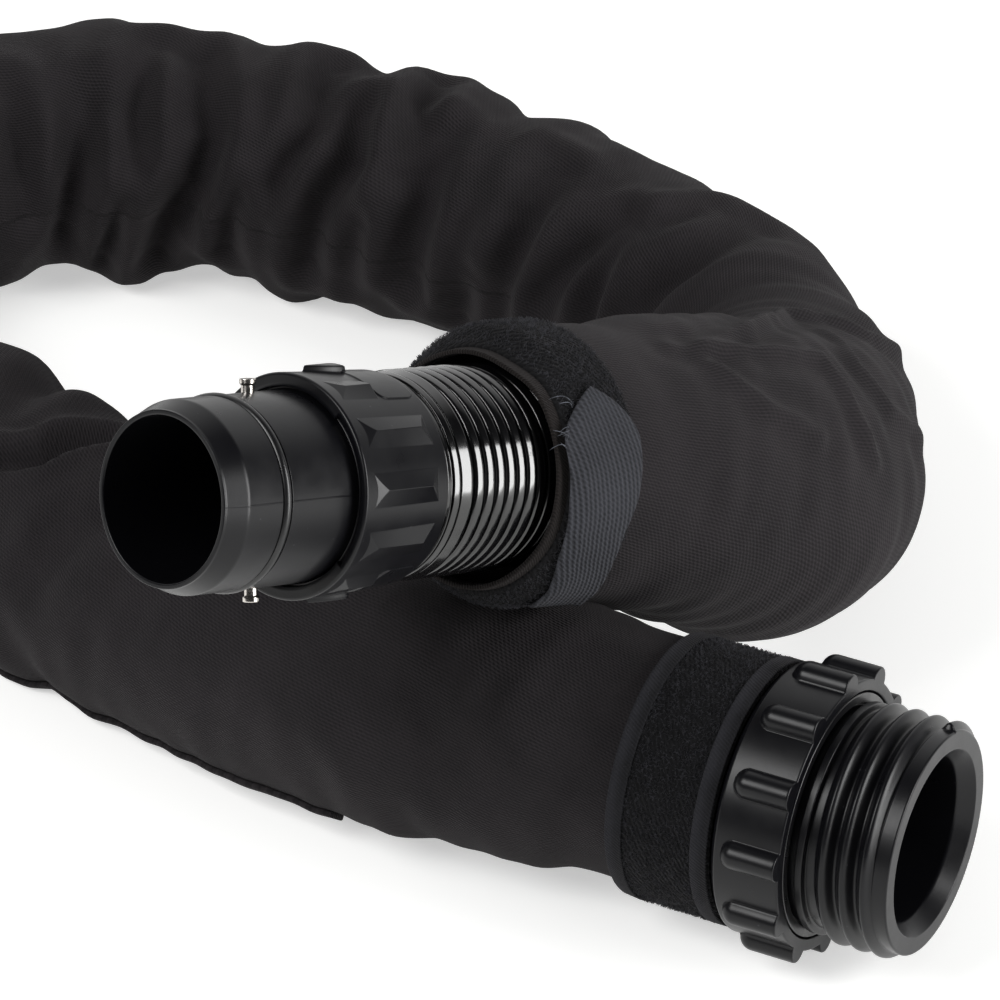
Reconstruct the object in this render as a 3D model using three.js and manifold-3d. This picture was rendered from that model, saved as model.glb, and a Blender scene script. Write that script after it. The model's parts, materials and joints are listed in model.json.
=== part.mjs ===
// A breathing-air hose in a cloth sleeve, lying in a loop with its bayonet end resting on
// its own front run. One end has a bayonet spigot with two steel pins and a grip collar,
// the other a 40 mm round-thread connector with a lobed hand wheel.
// Millimetres, +Z up. Both ends are drawn along their own +Z axis, which points out of the
// hose, with the origin where the ribbed hose ends.
import * as THREE from 'three';
import { mergeVertices } from 'three/addons/utils/BufferGeometryUtils.js';
import { ConvexGeometry } from 'three/addons/geometries/ConvexGeometry.js';
import Module from 'manifold-3d';

const wasm = await Module();
wasm.setup();

// ---------------------------------------------------------------- driving sizes, mm
// Gaps
const runningGap = 0.3; // radial, between pieces that turn on each other
const seatGap = 0.3; // between pieces that sit on each other

// Ribbed hose
const ribCount = 188;
const ribCrestRadius = 16.9;
const ribDepth = 1.6;
const hoseBoreRadius = 13.9;
const hoseNeckLength = 1.8; // plain end that the cuff holds
const hoseSides = 8;
const ribsPerBoreRing = 5;

// Cuff and clamp ring at each hose end
const cuffWall = 0.9;
const cuffNeckRadius = 14.9; // outside of the hose's plain neck
const cuffSocketDepth = 1.8;
const cuffBeadLength = 3.4; // from the socket's floor to the cuff's front
const cuffBeadHeight = 0.7;
const cuffBeadSetback = 1.1; // from the cuff's front to the bead
const cuffBeadWidth = 1.3;
const cuffLedge = 0.6; // radial, between the tail and the cuff's bore
const clampRingWidth = 2.1;
const clampRingWall = 0.6;
const clampRingSetback = 3.0; // from the cuff's front

// Swivel tail at each hose end
const tailBoreRadius = 12.2;
const tailWall = 1.1;
const tailFlangeHeight = 1.2;
const tailFlangeWidth = 3.0;
const tailSealSection = 0.4; // radius of the O-ring's section
const tailSealRoom = 0.25; // groove beside the O-ring, on each side
const tailNippleLength = 2.2; // inside the cuff, before its barb
const tailBarbHeight = 0.3;
const snapRingWidth = 1.4;
const snapRingSplit = 3.0;
const snapGrooveDepth = 0.5;
const snapGrooveRoom = 0.2; // beside and outside the snap ring

// Bayonet spigot
const spigotRadius = 15.25;
const spigotWall = 2.25;
const spigotBoreRadius = spigotRadius - spigotWall;
const noseChamferDepth = 1.55;
const spigotLipRadius = spigotRadius - noseChamferDepth;
const noseChamferLength = 4.0;
const noseBoreEdge = 0.3; // rounding of the bore's mouth
const noseLength = 26.7; // from the collar's front to the tip
const noseSealSetback = 11.3; // from the tip to the groove
const noseSealGrooveWidth = 2.0;
const noseSealGrooveDepth = 1.25;
const noseSealSection = 0.75;
const noseSealSeat = 0.25; // under the O-ring
const pinSetback = 19.0; // from the tip to the pins' axis
const pinRadius = 1.05;
const pinHeadRadius = 1.3;
const pinHeadLength = 0.7;
const pinProjection = 2.2;
const pinSeatDepth = 1.1;
const pinTurn = 109; // degrees round the axis from the level side to the upper pin
const spigotSkirtWall = 0.6; // outside the snap ring's groove
const spigotSkirtSetback = 0.6; // from the collar's rear
const swivelWall = 3.2; // between the skirt's front and the trapped flange

// Grip collar
const collarWall = 1.8; // at its front
const collarTaper = 1.0; // how much slimmer it is at its rear
const collarLength = 19.6;
const collarLipLength = 0.9;
const collarLipGap = 0.45; // radial, round the spigot
const collarSetback = 0.4; // from the cuff's front
const collarChamfer = 0.6;
const collarNotchDepth = 0.8;
const collarNotchHalfAngle = 45;
const gripRidgeCount = 12;
const gripRidgeHeight = 0.4; // of its level crest, over the collar's front
const gripRidgeHalfAngle = 8.8;
const gripRidgeSetback = 2.7; // from the collar's front
const gripRidgeLength = 14.2;
const gripRidgeFrontSlope = 2.0;
const gripRidgeRearSlope = 2.3;
const shortRidgeLength = 7.6; // beside a lug; it ends square
const gripRidgeSunk = 0.5; // how deep a ridge or a lug is let into the collar
const lugSetback = 4.4;
const lugLength = 7.7;
const lugWidth = 5.0; // at its rear
const lugTipWidth = 2.0;
const lugHeight = 0.65; // over the collar's front

// Threaded connector, 40 mm round thread of 7 turns to the inch
const threadRadius = 20.0;
const threadPitch = 25.4 / 7;
const threadDepth = 1.8;
const threadTurns = 3.4;
const threadStart = 1.3; // from the rim to the first crest
const threadStartTurn = 72; // degrees from the level side to the thread's cut start
const threadStepsPerTurn = 16;
const threadRootSunk = 0.5; // how deep the ridge is let into the core
const rimRadius = 18.7;
const rimLength = 3.6;
const rimChamfer = 0.6;
const rimFlatRadius = 15.7;
const threadBoreRadius = 13.8;
const rimBevelLength = 2.4;
const threadedLength = 17.1; // from the rim to the hand wheel's face
const threadRidgeHalfWidth = 1.5;
const threadCrestHalfWidth = 1.0;
const threadCrestRounding = 0.4;

// Hand wheel
const wheelBaseRadius = 22.8;
const wheelWall = 3.9; // of the base ring
const wheelBaseBevel = 0.9;
const wheelSetback = 0.4; // from the cuff's front
const wheelLength = 12.2;
const connectorSkirtRadius = wheelBaseRadius - wheelWall - seatGap;
const connectorSkirtSetback = 0.6; // from the wheel's rear
const threadedFlangeSetback = 1.8; // from the wheel's face
const wheelLobeCount = 12;
const wheelLobeRadius = 2.4;
const wheelLobeStand = 2.2; // how far the lobes stand out of the base ring
const wheelLobeLength = 10.2;
const wheelTurn = 21.6; // degrees from the level side to the first lobe
const gasketWidth = 1.7;
const gasketThickness = 1.2;
const gasketSideGap = 0.2;
const gasketSunk = 0.1; // under the wheel's face

// Cloth sleeve
const sleeveRadius = 22.6;
const sleeveBoreRadius = 20.15;
const sleeveEndRadius = 20.9; // under the loop bands
const sleeveSides = 12;
const sleeveRings = 50;
const sleeveBoreRings = 26;
const exposedHose = 19.5; // ribs that show between the bayonet end's cuff and the sleeve
const sleeveEase = 18.0; // stretch over which the sleeve opens out behind a loop band
const sleeveBandOverrun = 3.0; // stretch past a loop band that is still drawn in
const foldDepth = 2.4; // gathered folds of the back run
const foldLength = 27.0;
const foldsFrom = 276; // along the hose, from the threaded end
const foldsTo = 434;
const foldsEase = 40;
const bagDepth = 4.4; // slack of the cloth round the outside of the right-hand bend
const bagFrom = 500;
const bagTo = 559;
const bagEase = 30;
const bagTurnAngle = 200; // where the slack is deepest, degrees round the hose
const floorCut = 0.5; // how deep the sleeve is pressed flat on the floor
const bindingWidth = 2.2;
const bindingThickness = 1.3;
const bindingEdge = 0.6; // its rounded front edge
const bindingProud = 0.1; // over the sleeve's end
const bandWidth = 18.5;
const bandThickness = 1.0;
const tabWidth = 15.4;
const tabThickness = 0.9;
const seamThickness = 1.2;
const seamStand = 0.9; // between the sleeve and its doubled edge
const seamFromAngle = 216; // degrees round the hose
const seamToAngle = 236;
const seamSteps = 16;
const seamStart = 69; // along the hose, from the threaded end
const seamLength = 123;

// Turned pieces
const roundSides = 24;
const fineSides = 32; // of the spigot, collar, connector and hand wheel
const sealSides = 20;
const sealSteps = 6; // round an O-ring's section
const tapeSteps = 8; // straight steps in a tab's arc
const pinSides = 16;
const lobeSides = 10;

// ---------------------------------------------------------------- route
// The hose's middle line from the threaded end to the bayonet end, chosen by hand: the
// front run, the loop past the left, the back run, the right-hand bend and the rise over
// the front run. The first four and the last four points are in line, so that both ends
// leave their connectors straight.
const routePoints = [
  [40.35, -81.7, 25.1], [22.72, -72.29, 25.1], [5.09, -62.88, 25.1], [-12.54, -53.47, 25.1],
  [-30, -42.5, 23.2], [-47, -27.5, 21.8], [-63, -11.5, 21.3], [-79, 3.5, 21.3],
  [-95.5, 18, 21.3], [-109.5, 28.5, 21.3], [-122.5, 40.5, 21.3], [-133.5, 55.5, 21.5],
  [-139.6, 74.5, 21.8], [-138.3, 95.5, 22.2], [-129.9, 114.6, 22.3], [-115.4, 129.2, 22.3],
  [-96.8, 138.5, 22.3], [-77.5, 142, 22.3], [-57.5, 140.5, 22.3], [-38.5, 134.5, 22.3],
  [-22, 126, 22.3], [-7, 116.8, 22.3], [8.6, 106, 22.3], [23.6, 94.4, 22],
  [36.6, 80.4, 21.6], [45.4, 63.2, 21.3], [50, 44.5, 22], [50, 25.2, 27.2],
  [45.8, 4.8, 37.5], [37.2, -15.2, 49.6], [24.82, -31.9, 59.6], [11.18, -45.1, 65.92],
  [-2.46, -58.3, 72.24], [-17.6, -72.95, 79.255],
].map((p) => new THREE.Vector3(...p));

// A uniform cubic B-spline: smooth in slope and in curvature.
class SmoothRoute extends THREE.Curve {
  constructor(points) {
    super();
    const first = points[0].clone().multiplyScalar(2).sub(points[1]);
    const last = points.at(-1).clone().multiplyScalar(2).sub(points.at(-2));
    this.points = [first, ...points, last];
    this.arcLengthDivisions = 1200;
  }

  getPoint(t, target = new THREE.Vector3()) {
    const spans = this.points.length - 3;
    const at = Math.min(Math.max(t, 0), 1) * spans;
    const span = Math.min(Math.floor(at), spans - 1);
    const u = at - span;
    const weights = [
      (1 - u) ** 3 / 6,
      (3 * u ** 3 - 6 * u ** 2 + 4) / 6,
      (-3 * u ** 3 + 3 * u ** 2 + 3 * u + 1) / 6,
      u ** 3 / 6,
    ];
    target.set(0, 0, 0);
    weights.forEach((weight, k) => target.addScaledVector(this.points[span + k], weight));
    return target;
  }
}

const route = new SmoothRoute(routePoints);
const routeLength = route.getLength();
const up = new THREE.Vector3(0, 0, 1);

// The route's place and axes at a distance along it; past its ends it runs on straight.
function frameAt(distance) {
  const inside = Math.min(Math.max(distance, 0), routeLength);
  const u = inside / routeLength;
  const tangent = route.getTangentAt(u).normalize();
  const centre = route.getPointAt(u).addScaledVector(tangent, distance - inside);
  const side = new THREE.Vector3().crossVectors(tangent, up).normalize();
  const above = new THREE.Vector3().crossVectors(side, tangent);
  return { centre, tangent, side, above };
}

function pointOnRing(frame, radius, angle) {
  return frame.centre.clone()
    .addScaledVector(frame.side, radius * Math.cos(angle))
    .addScaledVector(frame.above, radius * Math.sin(angle));
}

// ---------------------------------------------------------------- shape helpers
const degrees = THREE.MathUtils.degToRad;

// Keeps only shared corners and turns every face outwards.
function closedBody(geometry) {
  const bare = geometry.index ? geometry.toNonIndexed() : geometry.clone();
  for (const name of Object.keys(bare.attributes)) {
    if (name !== 'position') bare.deleteAttribute(name);
  }
  const merged = mergeVertices(bare, 1e-4);
  const place = merged.attributes.position;
  const faces = [];
  const [a, b, c] = [new THREE.Vector3(), new THREE.Vector3(), new THREE.Vector3()];
  let volume = 0;
  for (let i = 0; i < merged.index.count; i += 3) {
    const corners = [0, 1, 2].map((k) => merged.index.getX(i + k));
    if (new Set(corners).size < 3) continue;
    [a, b, c].forEach((v, k) => v.fromBufferAttribute(place, corners[k]));
    volume += a.dot(b.cross(c)) / 6;
    faces.push(corners);
  }
  if (volume < 0) faces.forEach((corners) => corners.reverse());
  merged.setIndex(faces.flat());
  return merged;
}

function toSolid(geometry) {
  const body = closedBody(geometry);
  return new wasm.Manifold(new wasm.Mesh({
    numProp: 3,
    vertProperties: new Float32Array(body.attributes.position.array),
    triVerts: new Uint32Array(body.index.array),
  }));
}

function toGeometry(solid) {
  const mesh = solid.getMesh();
  const geometry = new THREE.BufferGeometry();
  geometry.setAttribute('position', new THREE.BufferAttribute(mesh.vertProperties, 3));
  geometry.setIndex(new THREE.BufferAttribute(mesh.triVerts, 1));
  return closedBody(geometry);
}

// A turned piece about +Z from a closed outline of [radius, height] corners.
function turned(outline, sides = roundSides) {
  const corners = [...outline, outline[0]].map(([r, z]) => new THREE.Vector2(r, z));
  return closedBody(new THREE.LatheGeometry(corners, sides).rotateX(Math.PI / 2));
}

// A plain ring between two radii and two heights.
function ring(inner, outer, low, high) {
  return turned([[inner, low], [outer, low], [outer, high], [inner, high]]);
}

// A ring of round section, such as an O-ring.
function roundRing(radius, section, height) {
  const corners = [];
  for (let k = 0; k < sealSteps; k += 1) {
    const angle = (2 * Math.PI * (k + 0.5)) / sealSteps;
    corners.push([radius + section * Math.cos(angle), height + section * Math.sin(angle)]);
  }
  return turned(corners, sealSides);
}

// Joins rings of corners into one closed skin; each ring has the same number of corners.
function skinOf(rings) {
  const count = rings[0].length;
  const corners = rings.flat();
  const faces = [];
  for (let r = 0; r < rings.length; r += 1) {
    const next = (r + 1) % rings.length;
    for (let k = 0; k < count; k += 1) {
      const k2 = (k + 1) % count;
      const [a, b] = [r * count + k, r * count + k2];
      const [c, d] = [next * count + k2, next * count + k];
      faces.push(a, b, c, a, c, d);
    }
  }
  const geometry = new THREE.BufferGeometry().setFromPoints(corners);
  geometry.setIndex(faces);
  return closedBody(geometry);
}

// A strip that hugs a ring between two angles: a box bent round the axis +Z.
function bentStrip(inner, outer, low, high, from, to, steps = tapeSteps) {
  const sections = [];
  for (let k = 0; k <= steps; k += 1) {
    const angle = degrees(from + ((to - from) * k) / steps);
    const [x, y] = [Math.cos(angle), Math.sin(angle)];
    sections.push([[inner, low], [outer, low], [outer, high], [inner, high]]
      .map(([r, z]) => new THREE.Vector3(r * x, r * y, z)));
  }
  return cappedTube(sections);
}

// A tube through sections that ends in two flat caps.
function cappedTube(sections) {
  const count = sections[0].length;
  const corners = sections.flat();
  const faces = [];
  for (let s = 0; s + 1 < sections.length; s += 1) {
    for (let k = 0; k < count; k += 1) {
      const k2 = (k + 1) % count;
      const [a, b] = [s * count + k, s * count + k2];
      const [c, d] = [a + count, b + count];
      faces.push(a, b, d, a, d, c);
    }
  }
  const lastRing = (sections.length - 1) * count;
  for (let k = 1; k + 1 < count; k += 1) {
    faces.push(0, k + 1, k);
    faces.push(lastRing, lastRing + k, lastRing + k + 1);
  }
  const geometry = new THREE.BufferGeometry().setFromPoints(corners);
  geometry.setIndex(faces);
  return closedBody(geometry);
}

// ---------------------------------------------------------------- materials
function finish(color, roughness, metalness = 0) {
  return new THREE.MeshStandardMaterial({ color, roughness, metalness });
}

const satinPlastic = finish(0x1d1e22, 0.45);
const glossRubber = finish(0x0b0b0d, 0.18);
const sealRubber = finish(0x101012, 0.4);
const steel = finish(0xc9c6c1, 0.22, 1);
const knitCloth = finish(0x232226, 0.95);
const loopPile = finish(0x1b1c20, 1);
const hookTape = finish(0x4a4e5a, 0.8);
const bindingTape = finish(0x2a2626, 0.9);

const object = new THREE.Group();

function addPiece(parent, name, geometry, material) {
  const piece = new THREE.Mesh(geometry, material);
  piece.name = name;
  parent.add(piece);
  return piece;
}

// A group at one end of the hose: origin where the ribbed hose ends, +Z out of the hose,
// +Y up as far as the axis allows.
function endGroup(distance, outward) {
  const frame = frameAt(distance);
  const axis = frame.tangent.clone().multiplyScalar(outward);
  const sideways = new THREE.Vector3().crossVectors(frame.above, axis);
  const group = new THREE.Group();
  group.matrixAutoUpdate = false;
  group.matrix.makeBasis(sideways, frame.above, axis).setPosition(frame.centre);
  object.add(group);
  return group;
}

const threadedEnd = endGroup(0, -1);
const bayonetEnd = endGroup(routeLength, 1);

// ---------------------------------------------------------------- shared end fittings
const cuffFront = seatGap + cuffBeadLength;
const cuffRear = seatGap - cuffSocketDepth;
const tailRadius = tailBoreRadius + tailWall;
const tailFlangeRadius = tailRadius + tailFlangeHeight;
const swivelCavityRadius = tailFlangeRadius + runningGap;
const snapGrooveRadius = swivelCavityRadius + snapGrooveDepth;
const cuffSocketRadius = cuffNeckRadius + seatGap;
const cuffRadius = cuffSocketRadius + cuffWall;

// The moulded cuff: a bead in front, and a socket behind that holds the hose's neck.
function cuff() {
  const boreRadius = tailRadius + cuffLedge;
  const beadRadius = cuffRadius + cuffBeadHeight;
  const beadFront = cuffFront - cuffBeadSetback;
  const beadRear = beadFront - cuffBeadWidth;
  const beadSlope = 0.3;
  return turned([
    [boreRadius, seatGap], [boreRadius, cuffFront], [cuffRadius, cuffFront],
    [cuffRadius, beadFront], [beadRadius, beadFront - beadSlope],
    [beadRadius, beadRear + beadSlope], [cuffRadius, beadRear],
    [cuffRadius, cuffRear], [cuffSocketRadius, cuffRear], [cuffSocketRadius, seatGap],
  ]);
}

function clampRing() {
  const front = cuffFront - clampRingSetback;
  const inner = cuffRadius + seatGap;
  return ring(inner, inner + clampRingWall, front - clampRingWidth, front);
}

// The hose tail: a flange that the connector traps, and a nipple inside the cuff.
function hoseTail(flangeFront) {
  const flangeRear = flangeFront - tailFlangeWidth;
  const sealMiddle = flangeFront - tailFlangeWidth / 2;
  const grooveHalf = tailSealSection + tailSealRoom;
  const grooveRadius = tailFlangeRadius - 2 * tailSealSection - tailSealRoom;
  const tailEnd = 2 * seatGap;
  const barbFront = seatGap + tailNippleLength;
  return turned([
    [tailBoreRadius, flangeFront], [tailFlangeRadius, flangeFront],
    [tailFlangeRadius, sealMiddle + grooveHalf], [grooveRadius, sealMiddle + grooveHalf],
    [grooveRadius, sealMiddle - grooveHalf], [tailFlangeRadius, sealMiddle - grooveHalf],
    [tailFlangeRadius, flangeRear], [tailRadius, flangeRear],
    [tailRadius, barbFront], [tailRadius + tailBarbHeight, barbFront - tailBarbHeight],
    [tailRadius - tailBarbHeight, tailEnd], [tailBoreRadius, tailEnd],
  ]);
}

function tailSeal(flangeFront) {
  const radius = tailFlangeRadius - tailSealSection - tailSealRoom / 2;
  return roundRing(radius, tailSealSection, flangeFront - tailFlangeWidth / 2);
}

// The split ring that keeps the tail's flange in the connector.
function snapRing(front) {
  const whole = ring(
    tailRadius + runningGap,
    snapGrooveRadius - snapGrooveRoom,
    front - snapRingWidth,
    front,
  );
  const reach = snapGrooveRadius - tailRadius + 2; // more than the ring's own width
  const split = new THREE.BoxGeometry(reach * 2, snapRingSplit, snapRingWidth * 3);
  split.translate(snapGrooveRadius, 0, front);
  return toGeometry(toSolid(whole).subtract(toSolid(split)));
}

// The inside of a connector that turns on the tail, from its rear opening to its bore.
function swivelCavity(rear, flangeFront, boreRadius) {
  const ringFront = flangeFront - tailFlangeWidth - seatGap;
  const grooveFront = ringFront + snapGrooveRoom;
  const grooveRear = ringFront - snapRingWidth - snapGrooveRoom;
  return [
    [swivelCavityRadius, rear], [swivelCavityRadius, grooveRear],
    [snapGrooveRadius, grooveRear], [snapGrooveRadius, grooveFront],
    [swivelCavityRadius, grooveFront], [swivelCavityRadius, flangeFront + runningGap],
    [boreRadius, flangeFront + runningGap],
  ];
}

function endFittings(group, side, flangeFront) {
  addPiece(group, `hose_tail_${side}`, hoseTail(flangeFront), satinPlastic);
  addPiece(group, `tail_seal_${side}`, tailSeal(flangeFront), sealRubber);
  const ringFront = flangeFront - tailFlangeWidth - seatGap;
  addPiece(group, `snap_ring_${side}`, snapRing(ringFront), steel);
  addPiece(group, `hose_cuff_${side}`, cuff(), glossRubber);
  addPiece(group, `clamp_ring_${side}`, clampRing(), glossRubber);
}

// ---------------------------------------------------------------- bayonet end
const collarRear = cuffFront + collarSetback;
const collarFront = collarRear + collarLength;
const noseTip = collarFront + noseLength;
const skirtFront = collarFront - collarLipLength - seatGap;
const bayonetFlangeFront = skirtFront - swivelWall;
const spigotSkirtRadius = snapGrooveRadius + spigotSkirtWall;
const collarRadius = spigotSkirtRadius + seatGap + collarWall;
const collarRearRadius = collarRadius - collarTaper;
const pinHeight = noseTip - pinSetback;

function bayonetSpigot() {
  const rear = collarRear + spigotSkirtSetback;
  const grooveFront = noseTip - noseSealSetback;
  const grooveRear = grooveFront - noseSealGrooveWidth;
  const grooveRadius = spigotRadius - noseSealGrooveDepth;
  const body = turned([
    ...swivelCavity(rear, bayonetFlangeFront, spigotBoreRadius),
    [spigotBoreRadius, noseTip - noseBoreEdge], [spigotBoreRadius + noseBoreEdge, noseTip],
    [spigotLipRadius, noseTip], [spigotRadius, noseTip - noseChamferLength],
    [spigotRadius, grooveFront], [grooveRadius, grooveFront],
    [grooveRadius, grooveRear], [spigotRadius, grooveRear],
    [spigotRadius, skirtFront], [spigotSkirtRadius, skirtFront],
    [spigotSkirtRadius, rear],
  ], fineSides);
  const holeRadius = pinRadius + seatGap;
  const holeLength = 2 * pinSeatDepth;
  const hole = new THREE.CylinderGeometry(holeRadius, holeRadius, holeLength, pinSides);
  let solid = toSolid(body);
  for (const turn of [0, 180]) {
    const cut = hole.clone().translate(0, spigotRadius, 0);
    cut.rotateZ(degrees(pinTurn + turn - 90)).translate(0, 0, pinHeight);
    solid = solid.subtract(toSolid(cut));
  }
  return toGeometry(solid);
}

function bayonetPin(turn) {
  const foot = spigotRadius - pinSeatDepth + seatGap;
  const tip = spigotRadius + pinProjection;
  const outline = [
    [0, foot], [pinRadius, foot], [pinRadius, tip - pinHeadLength],
    [pinHeadRadius, tip - pinHeadLength / 2], [pinHeadRadius, tip], [0, tip],
  ].map(([r, z]) => new THREE.Vector2(r, z));
  const pin = new THREE.LatheGeometry(outline, pinSides);
  pin.rotateZ(degrees(pinTurn + turn - 90)).translate(0, 0, pinHeight);
  return closedBody(pin);
}

// The outside radius of the collar's cone at a height.
function collarRadiusAt(height) {
  return collarRearRadius + (collarTaper * (height - collarRear)) / collarLength;
}

// One roof-shaped grip ridge: a level crest with a slope on each side and at each end. A
// short ridge ends square instead, at its rear.
function gripRidge(length, rearSlope) {
  const front = collarFront - gripRidgeSetback;
  const rear = front - length;
  const crest = collarRadius + gripRidgeHeight;
  const corners = [
    new THREE.Vector3(crest, 0, front - gripRidgeFrontSlope),
    new THREE.Vector3(crest, 0, rear + rearSlope),
  ];
  for (const height of [front, rear]) {
    for (const angle of [-gripRidgeHalfAngle, gripRidgeHalfAngle]) {
      for (const sunk of [0, gripRidgeSunk]) {
        const radius = collarRadiusAt(height) - sunk;
        const [x, y] = [Math.cos(degrees(angle)), Math.sin(degrees(angle))];
        corners.push(new THREE.Vector3(radius * x, radius * y, height));
      }
    }
  }
  return new ConvexGeometry(corners);
}

// A wedge lug in line with each pin: a level top that widens from a narrow tip in front and
// ends square.
function wedgeLug() {
  const front = collarFront - lugSetback;
  const rear = front - lugLength;
  const root = collarRearRadius - gripRidgeSunk;
  const crest = collarRadius + lugHeight;
  const corners = [];
  for (const side of [-0.5, 0.5]) {
    for (const radius of [root, crest]) {
      corners.push(new THREE.Vector3(radius, side * lugTipWidth, front));
      corners.push(new THREE.Vector3(radius, side * lugWidth, rear));
    }
  }
  return new ConvexGeometry(corners);
}

function gripCollar() {
  const inner = spigotSkirtRadius + seatGap;
  const lipInner = spigotRadius + collarLipGap;
  const body = turned([
    [inner, collarRear], [collarRearRadius - collarChamfer, collarRear],
    [collarRearRadius, collarRear + collarChamfer], [collarRadius, collarFront - collarChamfer],
    [collarRadius - collarChamfer, collarFront], [lipInner, collarFront],
    [lipInner, collarFront - collarLipLength], [inner, collarFront - collarLipLength],
  ], fineSides);
  let solid = toSolid(body);
  for (let k = 0; k < gripRidgeCount; k += 1) {
    const stepsFromLug = Math.min(k % 6, 6 - (k % 6));
    if (stepsFromLug === 0) continue;
    const ridge = stepsFromLug === 1
      ? gripRidge(shortRidgeLength, 0)
      : gripRidge(gripRidgeLength, gripRidgeRearSlope);
    ridge.rotateZ(degrees(pinTurn + (360 * k) / gripRidgeCount));
    solid = solid.add(toSolid(ridge));
  }
  for (const turn of [0, 180]) {
    const lug = wedgeLug().rotateZ(degrees(pinTurn + turn));
    solid = solid.add(toSolid(lug));
    const from = pinTurn + turn + 90 - collarNotchHalfAngle;
    const notch = bentStrip(
      spigotRadius,
      collarRadius * 2,
      collarFront - collarNotchDepth,
      collarFront + collarNotchDepth,
      from,
      from + 2 * collarNotchHalfAngle,
    );
    solid = solid.subtract(toSolid(notch));
  }
  return toGeometry(solid);
}

endFittings(bayonetEnd, 'left', bayonetFlangeFront);
addPiece(bayonetEnd, 'bayonet_spigot', bayonetSpigot(), satinPlastic);
const noseSealRadius = spigotRadius - noseSealGrooveDepth + noseSealSection + noseSealSeat;
const noseSealHeight = noseTip - noseSealSetback - noseSealGrooveWidth / 2;
const noseSeal = roundRing(noseSealRadius, noseSealSection, noseSealHeight);
addPiece(bayonetEnd, 'nose_seal', noseSeal, sealRubber);
addPiece(bayonetEnd, 'bayonet_pin_upper', bayonetPin(0), steel);
addPiece(bayonetEnd, 'bayonet_pin_lower', bayonetPin(180), steel);
addPiece(bayonetEnd, 'grip_collar', gripCollar(), satinPlastic);

// ---------------------------------------------------------------- threaded end
const wheelRear = cuffFront + wheelSetback;
const wheelFront = wheelRear + wheelLength;
const rimFace = wheelFront + threadedLength;
const threadCoreRadius = threadRadius - threadDepth;
const threadedFlangeFront = wheelFront - threadedFlangeSetback;

// The thread's ridge, a round-topped section wound once along the connector.
function threadRidge() {
  const root = threadCoreRadius - threadRootSunk;
  const shoulder = threadRadius - threadCrestRounding;
  const section = [
    [root, -threadRidgeHalfWidth], [shoulder, -threadCrestHalfWidth], [threadRadius, 0],
    [shoulder, threadCrestHalfWidth], [root, threadRidgeHalfWidth],
  ];
  const steps = Math.round(threadTurns * threadStepsPerTurn);
  const runOutSteps = 4;
  const sections = [];
  for (let k = 0; k <= steps; k += 1) {
    const turnsDone = k / threadStepsPerTurn;
    const angle = degrees(threadStartTurn) - 2 * Math.PI * turnsDone;
    const height = rimFace - threadStart - threadPitch * turnsDone;
    const sunk = threadDepth * Math.max(0, 1 - (steps - k) / runOutSteps);
    sections.push(section.map(([r, z]) => {
      const radius = Math.max(r - sunk, root);
      return new THREE.Vector3(radius * Math.cos(angle), radius * Math.sin(angle), height + z);
    }));
  }
  return cappedTube(sections);
}

function threadedConnector() {
  const rear = wheelRear + connectorSkirtSetback;
  const body = turned([
    ...swivelCavity(rear, threadedFlangeFront, threadBoreRadius),
    [threadBoreRadius, rimFace - rimBevelLength], [rimFlatRadius, rimFace],
    [rimRadius - rimChamfer, rimFace], [rimRadius, rimFace - rimChamfer],
    [rimRadius, rimFace - rimLength], [threadCoreRadius, rimFace - rimLength],
    [threadCoreRadius, wheelFront], [connectorSkirtRadius, wheelFront],
    [connectorSkirtRadius, rear],
  ], fineSides);
  return toGeometry(toSolid(body).add(toSolid(threadRidge())));
}

// The gasket lies in a recess in the hand wheel's face.
const gasketInner = connectorSkirtRadius + gasketSideGap;
const gasketOuter = gasketInner + gasketWidth;
const gasketRecess = gasketThickness + seatGap;

function handWheel() {
  const inner = connectorSkirtRadius + seatGap;
  const recessRadius = gasketOuter + seatGap;
  let solid = toSolid(turned([
    [inner, wheelRear], [wheelBaseRadius - wheelBaseBevel, wheelRear],
    [wheelBaseRadius, wheelRear + wheelBaseBevel], [wheelBaseRadius, wheelFront],
    [recessRadius, wheelFront], [recessRadius, wheelFront - gasketRecess],
    [inner, wheelFront - gasketRecess],
  ], fineSides));
  const dome = wheelLobeRadius * Math.SQRT1_2;
  const lobeRear = -wheelLobeLength;
  const outline = [
    [0, lobeRear], [dome, lobeRear + wheelLobeRadius - dome],
    [wheelLobeRadius, lobeRear + wheelLobeRadius], [wheelLobeRadius, 0], [0, 0],
  ].map(([r, z]) => new THREE.Vector2(r, z));
  const lobe = new THREE.LatheGeometry(outline, lobeSides).rotateX(Math.PI / 2);
  lobe.translate(wheelBaseRadius + wheelLobeStand - wheelLobeRadius, 0, wheelFront);
  const room = toSolid(ring(inner / 2, recessRadius, 0, 2 * wheelFront));
  for (let k = 0; k < wheelLobeCount; k += 1) {
    const placed = lobe.clone().rotateZ(degrees(wheelTurn + (360 * k) / wheelLobeCount));
    solid = solid.add(toSolid(placed).subtract(room));
  }
  return toGeometry(solid);
}

endFittings(threadedEnd, 'right', threadedFlangeFront);
addPiece(threadedEnd, 'threaded_connector', threadedConnector(), satinPlastic);
addPiece(threadedEnd, 'hand_wheel', handWheel(), satinPlastic);
const gasketFront = wheelFront - gasketSunk;
const gasket = ring(gasketInner, gasketOuter, gasketFront - gasketThickness, gasketFront);
addPiece(threadedEnd, 'wheel_gasket', gasket, sealRubber);

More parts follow.
